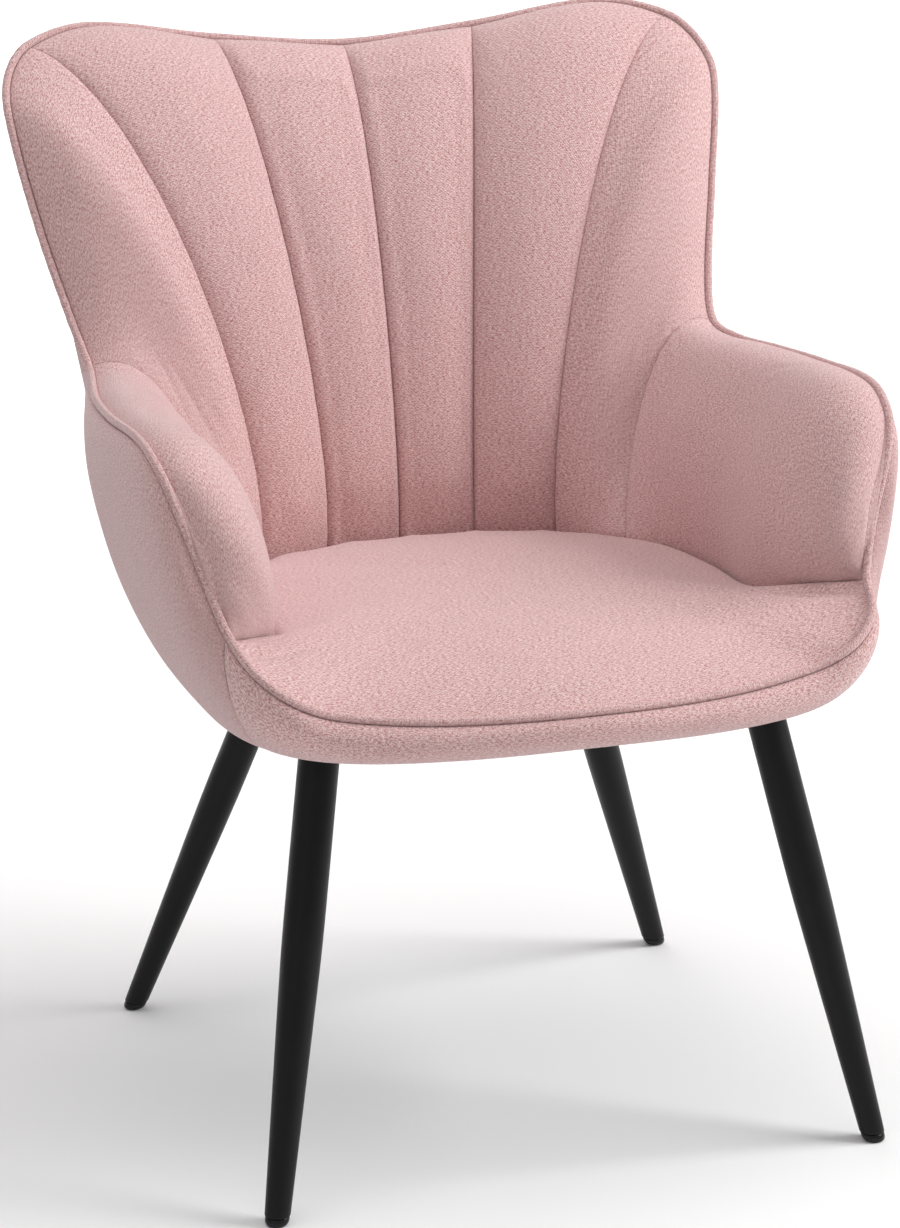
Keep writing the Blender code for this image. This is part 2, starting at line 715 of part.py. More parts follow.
def make_board():
    outline = board_outline(BOARD_INSET)
    board = prism("seat_board", outline, BOARD_BOTTOM_Z, BOARD_TOP_Z, solid_wood())
    through = (BOARD_BOTTOM_Z - 0.01, BOARD_TOP_Z + 0.01)
    sunk = (BOARD_TOP_Z - T_NUT_FLANGE_THICKNESS - GAP, BOARD_TOP_Z + 0.01)
    cut_holes(board, all_bolt_places(), T_NUT_HOLE_RADIUS, *through, "bolt")
    cut_holes(board, all_bolt_places(), T_NUT_FLANGE_RADIUS + 4 * GAP, *sunk, "flange")
    outline = board_outline(DUST_COVER_INSET)
    cloth = prism("dust_cover", outline, HEM_Z, HEM_Z + DUST_COVER_THICKNESS, dust_cloth())
    cut_holes(cloth, all_bolt_places(), BOLT_HOLE_RADIUS, HEM_Z - 0.01, HEM_Z + 0.01, "bolt")


def lean_over(made, leg):
    """Leans a piece made upright along its leg's axis, and stands it on the leg's foot."""
    for vertex in made.data.vertices:
        vertex.co.x += leg["lean"][0] * vertex.co.z
        vertex.co.y += leg["lean"][1] * vertex.co.z
    made.location = (*leg["foot"], 0)


def make_leg(name, leg):
    """A tapered steel tube, open at both ends, straight near the top."""
    top = PLATE_BOTTOM_Z - GAP
    knee = top * (1 - LEG_STRAIGHT_SHARE)
    outer = [(LEG_FOOT_RADIUS, GLIDE_HEIGHT + GAP), (LEG_TOP_RADIUS, knee), (LEG_TOP_RADIUS, top)]
    inner = [(radius - LEG_WALL, height) for radius, height in reversed(outer)]
    lean_over(turned(f"leg_{name}", outer + inner, LEG_SIDES, black_powder_coat()), leg)


def make_glide(name, leg):
    """A plastic foot: a low dome with a flat bottom, and a stem that plugs the tube."""
    rim = LEG_FOOT_RADIUS - 0.0006
    stem = LEG_FOOT_RADIUS - LEG_WALL - GAP
    profile = [
        (0, 0),
        (rim * 0.62, 0),
        (rim * 0.9, GLIDE_HEIGHT * 0.22),
        (rim, GLIDE_HEIGHT * 0.55),
        (rim, GLIDE_HEIGHT),
        (stem, GLIDE_HEIGHT),
        (stem, GLIDE_HEIGHT + GLIDE_STEM),
        (0, GLIDE_HEIGHT + GLIDE_STEM),
    ]
    lean_over(turned(f"glide_{name}", profile, LEG_SIDES, glide_plastic()), leg)


def make_plate(name, leg):
    """The steel plate that is welded to a leg and bolted under the seat board."""
    back, front, half, corner = -PLATE_TAIL, PLATE_LENGTH - PLATE_TAIL, PLATE_WIDTH / 2, 0.012
    corners = [
        (back + corner, -half),
        (front - corner, -half),
        (front, -half + corner),
        (front, half - corner),
        (front - corner, half),
        (back + corner, half),
        (back, half - corner),
        (back, -half + corner),
    ]
    outline = [plate_point(leg, *corner_point) for corner_point in corners]
    plate = prism(f"leg_plate_{name}", outline, PLATE_BOTTOM_Z, PLATE_TOP_Z, black_powder_coat())
    through = (PLATE_BOTTOM_Z - 0.01, PLATE_TOP_Z + 0.01)
    cut_holes(plate, bolt_places(leg), BOLT_HOLE_RADIUS, *through, "bolt")


def make_gusset(name, leg):
    """The upright triangle that stiffens the corner between a leg and its plate."""
    top = PLATE_BOTTOM_Z - GAP
    turn = math.radians(leg["plate_turn"])
    retreat = leg["lean"][0] * math.cos(turn) + leg["lean"][1] * math.sin(turn)
    start = LEG_TOP_RADIUS + 3 * GAP
    low = start - retreat * GUSSET_DROP
    triangle = [
        (start, top),
        (start + GUSSET_REACH, top),
        (start + GUSSET_REACH, top - GUSSET_NOSE),
        (low + GUSSET_NOSE, top - GUSSET_DROP),
        (low, top - GUSSET_DROP),
    ]
    points = []
    for across in (-GUSSET_THICKNESS / 2, GUSSET_THICKNESS / 2):
        points += [(*plate_point(leg, along, across), z) for along, z in triangle]
    count = len(triangle)
    faces = [tuple(range(count)), tuple(range(2 * count - 1, count - 1, -1))]
    faces += [(k, (k + 1) % count, count + (k + 1) % count, count + k) for k in range(count)]
    solid(f"leg_gusset_{name}", points, faces, black_powder_coat())


def make_fixings(name, leg):
    """Bolts up through a plate, and the T-nuts sunk in the top of the board that hold them."""
    head_top = PLATE_BOTTOM_Z - GAP
    head = head_top - BOLT_HEAD_HEIGHT
    bolt = [
        (0, head),
        (BOLT_HEAD_RADIUS * 0.7, head),
        (BOLT_HEAD_RADIUS, head_top - 0.001),
        (BOLT_HEAD_RADIUS, head_top),
        (BOLT_RADIUS, head_top),
        (BOLT_RADIUS, BOARD_TOP_Z - 0.001),
        (0, BOARD_TOP_Z - 0.001),
    ]
    flange = BOARD_TOP_Z - T_NUT_FLANGE_THICKNESS
    nut = [
        (BOLT_HOLE_RADIUS, flange - T_NUT_DEPTH),
        (T_NUT_BARREL_RADIUS, flange - T_NUT_DEPTH),
        (T_NUT_BARREL_RADIUS, flange),
        (T_NUT_FLANGE_RADIUS, flange),
        (T_NUT_FLANGE_RADIUS, BOARD_TOP_Z),
        (BOLT_HOLE_RADIUS, BOARD_TOP_Z),
    ]
    for number, place in enumerate(bolt_places(leg), 1):
        made = turned(f"leg_bolt_{name}_{number}", bolt, BOLT_SIDES, zinc_plated_steel())
        made.location = (*place, 0)
        made = turned(f"t_nut_{name}_{number}", nut, BOLT_SIDES, zinc_plated_steel())
        made.location = (*place, 0)


def stand_at_origin():
    """Hangs every piece on one empty, which puts the middle of the chair's box over the origin."""
    chair = bpy.data.objects.new("chair", None)
    bpy.context.scene.collection.objects.link(chair)
    chair.location.y = -CENTRE_BEHIND_FEET
    for made in bpy.data.objects:
        if made is not chair:
            made.parent = chair


def main():
    for old in list(bpy.data.objects):
        bpy.data.objects.remove(old, do_unlink=True)
    make_back_and_arm_padding()
    make_plywood()
    make_outside_covers()
    make_piping()
    make_seat()
    make_board()
    for name, leg in LEGS.items():
        make_leg(name, leg)
        make_glide(name, leg)
        make_plate(name, leg)
        make_gusset(name, leg)
        make_fixings(name, leg)
    stand_at_origin()


main()
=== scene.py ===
# %% [markdown]
# # A wing-back armchair in heathered pink cloth
# The chair is a tub. One piped edge runs round it as a closed loop: over the back, down the wings,
# along the arms, down their fronts and across the seat. The padded inside hangs from one side of
# that edge and the outside cover from the other. Four tapered steel legs are bolted underneath.
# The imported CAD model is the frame: its nodes say where each piece is, and the soft ones are
# replaced below by finer pieces that puff, fold and carry a weave.

# %% Load the chair's frame
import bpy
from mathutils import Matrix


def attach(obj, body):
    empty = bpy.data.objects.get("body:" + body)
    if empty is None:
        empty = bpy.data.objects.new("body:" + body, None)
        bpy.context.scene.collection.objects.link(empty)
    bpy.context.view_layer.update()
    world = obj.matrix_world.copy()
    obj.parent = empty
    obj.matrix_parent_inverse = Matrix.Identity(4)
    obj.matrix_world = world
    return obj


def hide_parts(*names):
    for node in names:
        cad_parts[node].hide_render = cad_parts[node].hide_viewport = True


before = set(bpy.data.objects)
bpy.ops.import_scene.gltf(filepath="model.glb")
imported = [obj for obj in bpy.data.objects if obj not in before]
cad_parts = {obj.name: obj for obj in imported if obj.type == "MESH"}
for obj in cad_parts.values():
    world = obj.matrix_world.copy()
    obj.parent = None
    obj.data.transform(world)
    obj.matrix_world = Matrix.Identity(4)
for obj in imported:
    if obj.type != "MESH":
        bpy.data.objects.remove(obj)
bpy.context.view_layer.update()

# %% [markdown]
# numpy works out the points of a surface all at once, and bmesh turns a mesh's faces the right way.

# %% What the cells below need
import math

import bmesh
import bpy
import numpy as np
from mathutils import Vector

SCENE = bpy.context.scene
print("frame:", len(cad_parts), "nodes")

# %% [markdown]
# ## Camera
# A long lens from about three and a half metres keeps the chair's upright lines nearly parallel.
# It stands to the left of the chair's front and looks a little down on the seat. A camera looks
# along its own -Z, so it is turned with to_track_quat, which also keeps its top upright.

# %% Camera
AZIMUTH = math.radians(-18.68)
ELEVATION = math.radians(16.54)
EYE = (-1.0708, -3.1399, 1.3732)
LENS = 120.66

towards_eye = Vector((
    math.sin(AZIMUTH) * math.cos(ELEVATION),
    -math.cos(AZIMUTH) * math.cos(ELEVATION),
    math.sin(ELEVATION),
))
camera = bpy.data.objects.new("camera", bpy.data.cameras.new("camera"))
camera.data.lens = LENS
camera.data.sensor_width = 36
camera.location = EYE
camera.rotation_mode = "QUATERNION"
camera.rotation_quaternion = (-towards_eye).to_track_quat("-Z", "Y")
SCENE.collection.objects.link(camera)
SCENE.camera = camera
print("camera", round(LENS), "mm, from", EYE)

# %% [markdown]
# ## Studio
# The chair stands on a pale floor that curves up into a wall behind it, so there is no horizon
# line. A large softbox to the right and above gives each channel a light side and a shaded side.
# One overhead and a weak one on the left open the shadows, and a fourth lights the wall. A white
# world lights everything a little.

# %% Floor and lights
FLOOR_WIDTH = 26.0
FLOOR_FRONT = -10.0
WALL_Y = 9.5
WALL_HEIGHT = 8.0
SWEEP_RADIUS = 2.5


def plain_paint(name, color, roughness):
    """A plain matte material for what isn't part of the chair."""
    material = bpy.data.materials.new(name)
    material.use_nodes = True
    shader = material.node_tree.nodes["Principled BSDF"]
    shader.inputs["Base Color"].default_value = (*color, 1)
    shader.inputs["Roughness"].default_value = roughness
    return material


def make_floor():
    """The floor and the wall behind, as one sheet that bends along a quarter circle."""
    line = [(FLOOR_FRONT, 0.0)]
    for step in range(17):
        turn = math.pi / 2 * step / 16
        line.append((
            WALL_Y - SWEEP_RADIUS + SWEEP_RADIUS * math.sin(turn),
            SWEEP_RADIUS - SWEEP_RADIUS * math.cos(turn),
        ))
    line.append((WALL_Y, WALL_HEIGHT))
    points = [(x, y, z) for y, z in line for x in (-FLOOR_WIDTH / 2, FLOOR_WIDTH / 2)]
    faces = [(2 * k, 2 * k + 1, 2 * k + 3, 2 * k + 2) for k in range(len(line) - 1)]
    mesh = bpy.data.meshes.new("floor")
    mesh.from_pydata(points, [], faces)
    mesh.shade_smooth()
    mesh.materials.append(plain_paint("floor", (0.97, 0.97, 0.97), 0.9))
    floor = bpy.data.objects.new("floor", mesh)
    SCENE.collection.objects.link(floor)


def softbox(name, place, aim, size, power):
    """A square area light that faces a point."""
    light = bpy.data.objects.new(name, bpy.data.lights.new(name, "AREA"))
    light.data.size = size
    light.data.energy = power
    light.location = place
    light.rotation_mode = "QUATERNION"
    light.rotation_quaternion = (Vector(aim) - Vector(place)).to_track_quat("-Z", "Y")
    SCENE.collection.objects.link(light)


make_floor()
softbox("key", (2.9, -0.9, 2.4), (0, 0, 0.5), 1.9, 108)
softbox("top", (-0.3, 0.2, 3.2), (0, 0, 0.4), 2.4, 32)
softbox("fill", (-2.8, -2.2, 1.5), (0, 0, 0.5), 2.0, 3)
softbox("backdrop", (0, 4.5, 4.5), (0, 8.5, 0.6), 4.0, 420)
world = bpy.data.worlds.new("studio")
world.use_nodes = True
world.node_tree.nodes["Background"].inputs["Color"].default_value = (1, 1, 1, 1)
world.node_tree.nodes["Background"].inputs["Strength"].default_value = 0.40
SCENE.world = world
SCENE.view_settings.view_transform = "Standard"
print("studio: floor, 4 softboxes and a white world")

# %% [markdown]
# ## The lines that the upholsterer follows
# Every soft surface starts at the piped edge, so that edge is drawn first, as a smooth curve
# through named stations on the right half. Tables then say how each sheet leaves the piping at
# some of those stations and how it arrives at the seat or at the hem. Between stations everything
# is read smoothly, so a sheet has no corner that the real cloth doesn't have.

# %% Stations of the piped edge
PIPED_EDGE = {
    "back_middle": (0.000, 0.394, 0.823),
    "inner_seam": (0.119, 0.391, 0.834),
    "crest": (0.235, 0.377, 0.851),
    "wing_seam": (0.292, 0.356, 0.840),
    "wing_corner": (0.314, 0.335, 0.819),
    "wing_widest": (0.3205, 0.311, 0.790),
    "wing_middle": (0.306, 0.276, 0.702),
    "wing_low": (0.289, 0.239, 0.628),
    "elbow": (0.2815, 0.207, 0.592),
    "arm_rear": (0.288, 0.168, 0.5845),
    "arm_quarter": (0.300, 0.105, 0.587),
    "arm_middle": (0.308, 0.025, 0.5915),
    "arm_front": (0.3085, -0.070, 0.5955),
    "arm_corner": (0.304, -0.114, 0.579),
    "arm_face": (0.295, -0.132, 0.550),
    "arm_shin": (0.279, -0.144, 0.501),
    "pinch": (0.2665, -0.162, 0.461),
    "seat_corner": (0.256, -0.198, 0.440),
    "seat_turn": (0.232, -0.2175, 0.421),
    "seat_side": (0.195, -0.221, 0.406),
    "seat_quarter": (0.110, -0.238, 0.3985),
    "seat_middle": (0.000, -0.250, 0.399),
}
print("stations of the piped edge:", len(PIPED_EDGE))

# %% [markdown]
# A row of the outside's table says how the cover leaves the piping (x, y, z), where its hem is, in
# degrees round from +X, and how it arrives there (outward, up).

# %% How the outside cover runs from the piping to the hem
OUTSIDE = {
    "back_middle": ((0.0, 0.010, -0.033), 90.0, (0.012, 0.144)),
    "inner_seam": ((0.0, 0.010, -0.035), 69.0, (0.012, 0.150)),
    "crest": ((-0.002, 0.013, -0.045), 57.0, (0.012, 0.185)),
    "wing_seam": ((-0.012, 0.026, -0.032), 49.0, (0.016, 0.195)),
    "wing_widest": ((-0.024, 0.034, -0.010), 42.0, (0.022, 0.185)),
    "wing_middle": ((-0.020, 0.042, 0.0), 35.0, (0.028, 0.150)),
    "elbow": ((0.006, 0.046, -0.010), 25.0, (0.042, 0.105)),
    "arm_quarter": ((0.024, 0.008, -0.012), 14.0, (0.060, 0.080)),
    "arm_middle": ((0.023, 0.0, -0.012), 1.0, (0.060, 0.076)),
    "arm_front": ((0.021, -0.004, -0.012), -15.0, (0.059, 0.070)),
    "arm_face": ((0.017, -0.008, -0.014), -25.0, (0.053, 0.046)),
    "pinch": ((0.013, -0.009, -0.014), -33.0, (0.046, 0.018)),
    "seat_turn": ((0.008, -0.013, -0.009), -43.0, (0.044, 0.009)),
    "seat_quarter": ((0.002, -0.014, -0.006), -67.0, (0.043, 0.008)),
    "seat_middle": ((0.0, -0.014, -0.006), -90.0, (0.043, 0.008)),
}
print("rows of the outside:", len(OUTSIDE))

# %% [markdown]
# A row of the inside says how the padding leaves the piping, where it meets the seat, and from
# which side it arrives there. WALL_FOOT is where it ends on the board, and SEAT_FRONT is how the
# seat's own cover leaves the piping along the front.

# %% How the padded inside runs from the piping to the seat, and below it to the board
INSIDE = {
    "back_middle": ((0.0, -0.079, -0.023), (0.0, 0.231, 0.410), (0.0, -0.002, 0.120)),
    "inner_seam": ((-0.019, -0.073, -0.018), (0.0655, 0.2275, 0.410), (-0.004, -0.005, 0.120)),
    "wing_seam": ((-0.090, -0.062, -0.022), (0.132, 0.204, 0.411), (-0.010, -0.006, 0.120)),
    "elbow": ((-0.066, -0.022, 0.030), (0.167, 0.126, 0.427), (0.023, 0.064, 0.073)),
    "arm_quarter": ((-0.050, -0.002, 0.032), (0.196, 0.078, 0.429), (-0.004, 0.010, 0.120)),
    "arm_middle": ((-0.046, -0.004, 0.030), (0.208, 0.010, 0.430), (-0.004, 0.006, 0.125)),
    "arm_front": ((-0.044, -0.012, 0.026), (0.207, -0.068, 0.434), (-0.006, -0.012, 0.120)),
    "arm_face": ((-0.034, -0.024, 0.008), (0.219, -0.116, 0.441), (-0.004, -0.034, 0.070)),
    "arm_shin": ((-0.018, -0.020, 0.002), (0.238, -0.137, 0.448), (0.0, -0.020, 0.030)),
    "pinch": ((-0.008, 0.002, -0.002), (0.262, -0.157, 0.456), (0.001, -0.001, 0.002)),
}
WALL_FOOT = {
    "back_middle": ((0.0, 0.231),),
    "inner_seam": ((0.066, 0.229),),
    "wing_seam": ((0.134, 0.207),),
    "elbow": ((0.172, 0.132),),
    "arm_quarter": ((0.203, 0.080),),
    "arm_middle": ((0.216, 0.012),),
    "arm_front": ((0.214, -0.066),),
    "arm_face": ((0.222, -0.104),),
    "arm_shin": ((0.229, -0.118),),
    "pinch": ((0.237, -0.128),),
}
SEAT_FRONT = {
    "pinch": ((-0.008, 0.002, -0.002),),
    "seat_corner": ((-0.007, 0.006, 0.0),),
    "seat_turn": ((-0.004, 0.008, 0.0),),
    "seat_quarter": ((-0.001, 0.009, 0.0),),
    "seat_middle": ((0.0, 0.009, 0.0),),
}
print("rows of the inside:", len(INSIDE))

# %% [markdown]
# A Catmull-Rom curve passes through all of its points, which suits stations that can be measured
# on a real chair. Each sheet's line down from the piping is one Bezier cubic: two end points and
# two handles say how it leaves and how it arrives.

# %% Curves
def unit(vectors):
    """The vectors at length 1."""
    return vectors / np.linalg.norm(vectors, axis=-1, keepdims=True)


def smooth_through(keys, values, at):
    """A smooth curve through values at keys, read at the numbers in at (Catmull-Rom)."""
    keys = np.asarray(keys, float)
    values = np.asarray(values, float)
    slopes = np.empty_like(values)
    slopes[1:-1] = (values[2:] - values[:-2]) / (keys[2:] - keys[:-2])[:, None]
    slopes[0] = (values[1] - values[0]) / (keys[1] - keys[0])
    slopes[-1] = (values[-1] - values[-2]) / (keys[-1] - keys[-2])
    at = np.clip(np.asarray(at, float), keys[0], keys[-1])
    low = np.clip(np.searchsorted(keys, at, side="right") - 1, 0, len(keys) - 2)
    span = keys[low + 1] - keys[low]
    s = (at - keys[low]) / span
    s, span = s[..., None], span[..., None]
    return (
        (2 * s**3 - 3 * s**2 + 1) * values[low]
        + (s**3 - 2 * s**2 + s) * span * slopes[low]
        + (-2 * s**3 + 3 * s**2) * values[low + 1]
        + (s**3 - s**2) * span * slopes[low + 1]
    )


def bezier(p0, p1, p2, p3, v):
    """The cubic with these four points, read at v from 0 to 1."""
    v = v[..., None]
    return (1 - v) ** 3 * p0 + 3 * (1 - v) ** 2 * v * p1 + 3 * (1 - v) * v**2 * p2 + v**3 * p3


print("curves ready")

# %% [markdown]
# ## Where the sheets run
# The outside cover leaves the piping, bellies outward and tucks under at the hem, which is a
# rounded rectangle under the seat. A sheet starts right beside the piping, and its seam allowance
# lies hidden behind it.

# %% Edge, hem and outside cover
PIPING_RADIUS = 0.0035
SEAM_TILT = 0.55
SEAM_SLIT = 0.0002
ALLOWANCE_APART = 0.0003
ALLOWANCE_DEPTH = 0.0016
ALLOWANCE_THICKNESS = 0.0006
STEP = 1e-3
GAP = 0.0004
HEM_Z = 0.361
HEM_HALF_WIDTH = 0.252
HEM_FRONT, HEM_REAR = 0.222, 0.258
HEM_SQUARENESS_FRONT, HEM_SQUARENESS_REAR = 3.5, 2.6
EDGE_POINTS = np.array(list(PIPED_EDGE.values()))
EDGE_KEYS = np.concatenate([[0], np.cumsum(np.linalg.norm(np.diff(EDGE_POINTS, axis=0), axis=1))])
KEY = dict(zip(PIPED_EDGE, EDGE_KEYS))
LAST = KEY["seat_middle"]


def piped_edge(t):
    """Points of the piped edge at distances t along its right half."""
    mirror = EDGE_POINTS[[1, -2]] * [-1, 1, 1]
    keys = np.concatenate([[-EDGE_KEYS[1]], EDGE_KEYS, [2 * LAST - EDGE_KEYS[-2]]])
    return smooth_through(keys, np.concatenate([mirror[:1], EDGE_POINTS, mirror[1:]]), t)


def rows_at(table, column, t):
    """One column of a table of named rows, read smoothly at the distances t."""
    keys = [KEY[name] for name in table]
    values = [np.atleast_1d(row[column]) for row in table.values()]
    return smooth_through(keys, values, t)


def hem(angle):
    """Points of the hem at these angles in radians."""
    c, s = np.cos(angle), np.sin(angle)
    depth = np.where(s < 0, HEM_FRONT, HEM_REAR)
    power = np.where(s < 0, HEM_SQUARENESS_FRONT, HEM_SQUARENESS_REAR)
    radius = (np.abs(c / HEM_HALF_WIDTH) ** power + np.abs(s / depth) ** power) ** (-1 / power)
    return np.stack([radius * c, radius * s, np.full_like(radius, HEM_Z)], axis=-1)


def inside_leave(t):
    """How the padding leaves the piping: the wall's padding as far as the pinch, then the seat's."""
    wall = rows_at(INSIDE, 0, t)
    seat = rows_at(SEAT_FRONT, 0, t)
    return np.where((t <= KEY["pinch"])[..., None], wall, seat)


def into_the_wall(t):
    """The direction from the piping into the upholstery, halfway between the two sheets."""
    along = piped_edge(t + STEP) - piped_edge(t - STEP)
    behind_padding = unit(np.cross(along, inside_leave(t)))
    behind_cover = unit(np.cross(rows_at(OUTSIDE, 0, t), along))
    return unit(behind_padding + behind_cover)


def sheet_start(t, leaving):
    """Where a sheet that leaves the piping in this direction comes out from behind the piping."""
    way = unit(unit(leaving) + SEAM_TILT * into_the_wall(t))
    return piped_edge(t) + (PIPING_RADIUS + SEAM_SLIT) * way


def behind_piping(t, side):
    """Where a sheet's seam allowance lies behind the piping, a little to its own side of the seam."""
    deep = (PIPING_RADIUS + ALLOWANCE_DEPTH) * into_the_wall(t)
    return piped_edge(t) + deep + ALLOWANCE_APART * unit(side)


def outside(t, v):
    """The outside cover: v runs from 0 at the piping to 1 at the hem."""
    leave = rows_at(OUTSIDE, 0, t)
    angle = np.radians(rows_at(OUTSIDE, 1, t)[..., 0])
    end = hem(angle)
    arrive = rows_at(OUTSIDE, 2, t)
    outward = np.stack([np.cos(angle), np.sin(angle), np.zeros_like(angle)], axis=-1)
    before_end = end + outward * arrive[..., :1] + np.array([0, 0, 1.0]) * arrive[..., 1:]
    return bezier(sheet_start(t, leave), piped_edge(t) + leave, before_end, end, v)


print("piped edge, station to station:", round(2 * LAST, 2), "m")

# %% [markdown]
# The inside runs down to the seat and then, out of sight, to the board. Its back is sewn into
# channels: between two seams the padding rises toward the sitter, steeply beside the seam and
# gently in the middle. The wings rise less.

# %% The padded inside and its channels
SEAMS = ("back_middle", "inner_seam", "wing_seam", "elbow")
VISIBLE_SHARE = 0.86
BASE_Z = 0.378
CHANNEL_RISE = 0.012
WING_RISE = 0.008


def channel_rise(t):
    """How far the padding rises between two seams: 0 on a seam, most in the middle."""
    rise = np.zeros_like(t)
    for first, second in zip(SEAMS, SEAMS[1:]):
        within = (t >= KEY[first]) & (t <= KEY[second])
        bow = np.abs(np.sin(np.pi * (t - KEY[first]) / (KEY[second] - KEY[first])))
        full = WING_RISE * bow if second == "elbow" else CHANNEL_RISE * bow**0.6
        rise = np.where(within, full, rise)
    return rise


def inside_column(t, s):
    """The inside without its channels: s is 0 at the piping and 1 at the seat."""
    leave = rows_at(INSIDE, 0, t)
    foot = rows_at(INSIDE, 1, t)
    arrive = foot + rows_at(INSIDE, 2, t)
    return bezier(sheet_start(t, leave), piped_edge(t) + leave, arrive, foot, s)


def inside(t, v):
    """The padded inside: v is 0 at the piping, VISIBLE_SHARE at the seat and 1 at the board."""
    s = np.clip(v / VISIBLE_SHARE, 0, 1)
    here = inside_column(t, s)
    across = inside_column(t + STEP, s) - inside_column(t - STEP, s)
    down = inside_column(t, np.minimum(s + STEP, 1)) - inside_column(t, np.maximum(s - STEP, 0))
    facing = unit(np.cross(down, across) + [0, -1e-9, 0])
    fade = np.clip(s * 6, 0, 1) ** 0.5 * np.clip((1.08 - s) * 5, 0, 1)
    here = here + facing * (channel_rise(t) * fade)[..., None]
    foot = rows_at(WALL_FOOT, 0, t)
    foot = np.concatenate([foot, np.full_like(foot[..., :1], BASE_Z)], axis=-1)
    tail = np.clip((v - VISIBLE_SHARE) / (1 - VISIBLE_SHARE), 0, 1)[..., None]
    return here + tail * (foot - rows_at(INSIDE, 1, t))


print("seams on each side:", *(f"{name} {KEY[name]:.3f} m" for name in SEAMS))

# %% [markdown]
# ## Cloth, coats and wood
# The cover is a heathered woollen weave: pale and dark rose fibres are spun together, so every
# thread changes colour along its length, and the surface is brushed. Crossed sine waves give the
# plain weave its bumps, and a painted shade darkens the cloth's colour in the weave's hollows.
# Stretched noise gives the short dashes of colour along both threads. A sheen on top is the light
# that the brushed fibres catch. The patterns are laid out in metres on each piece's own weave map,
# so the threads have one size over the whole chair.

# %% Material helpers
THREAD_PITCH = 0.0014
PALE_FIBRE = (0.90, 0.685, 0.675)
DARK_FIBRE = (0.51, 0.215, 0.202)


def new_material(name, color, roughness, metallic=0.0):
    """A material with one Principled shader, and what is needed to add nodes to it."""
    material = bpy.data.materials.new(name)
    material.use_nodes = True
    material.diffuse_color = (*color, 1)
    shader = material.node_tree.nodes["Principled BSDF"]
    shader.inputs["Base Color"].default_value = (*color, 1)
    shader.inputs["Roughness"].default_value = roughness
    shader.inputs["Metallic"].default_value = metallic
    return material, shader


def join(shader, name, socket):
    """Feeds one input of a shader from a socket."""
    shader.id_data.links.new(shader.inputs[name], socket)


def node(material, kind, links=(), **values):
    """A new node with its settings and inputs; links pairs an input's name with a socket."""
    made = material.node_tree.nodes.new(kind)
    for key, value in values.items():
        if key in made.inputs:
            made.inputs[key].default_value = value
        elif key.startswith("input_"):
            made.inputs[int(key[6:])].default_value = value
        else:
            setattr(made, key, value)
    for key, socket in links:
        material.node_tree.links.new(made.inputs[key], socket)
    return made


def math_node(material, operation, first, second=None, value=None):
    """One arithmetic step on sockets."""
    links = [(0, first)]
    if second is not None:
        links.append((1, second))
    made = node(material, "ShaderNodeMath", links, operation=operation)
    if value is not None:
        made.inputs[1].default_value = value
    return made.outputs[0]


def stretched_noise(material, vector, scale, detail=2.0, rough=0.6):
    """Noise that is drawn out by a different scale along each axis."""
    mapping = node(material, "ShaderNodeMapping", [("Vector", vector)], Scale=scale)
    links = [("Vector", mapping.outputs[0])]
    made = node(material, "ShaderNodeTexNoise", links, Scale=1.0, Detail=detail, Roughness=rough)
    return made.outputs["Fac"]


def ramp(material, fac, low, high, low_color=(0, 0, 0), high_color=(1, 1, 1)):
    """A soft step between two colours, from one value of a factor to another."""
    made = node(material, "ShaderNodeValToRGB", [("Fac", fac)])
    made.color_ramp.elements[0].position = low
    made.color_ramp.elements[1].position = high
    made.color_ramp.elements[0].color = (*low_color, 1)
    made.color_ramp.elements[1].color = (*high_color, 1)
    return made.outputs["Color"]


def mix_colors(material, fac, first, second, blend="MIX"):
    """Two colours mixed by a factor, which is a number or a socket."""
    made = material.node_tree.nodes.new("ShaderNodeMix")
    made.data_type = "RGBA"
    made.blend_type = blend
    for index, value in ((0, fac), (6, first), (7, second)):
        if isinstance(value, bpy.types.NodeSocket):
            material.node_tree.links.new(made.inputs[index], value)
        else:
            made.inputs[index].default_value = value if index == 0 else (*value, 1)
    return made.outputs[2]


def bump(material, height, strength, distance, under=None):
    """A bump map, laid over another one where there is one."""
    links = [("Height", height)]
    if under is not None:
        links.append(("Normal", under))
    made = node(material, "ShaderNodeBump", links, Strength=strength, Distance=distance)
    return made.outputs["Normal"]


print("material helpers ready")

# %% [markdown]
# The cover and the piping are cut from the same cloth. The piping is cut on the bias, at 45
# degrees to the threads, so that it goes round corners, and its cloth is given a tone a little
# darker than the cover's. The dashes are about four times as long as they are thick.

# %% The heathered cloth
DASH = (330.0, 1250.0, 1.0)
DASH_ACROSS = (1250.0, 330.0, 1.0)


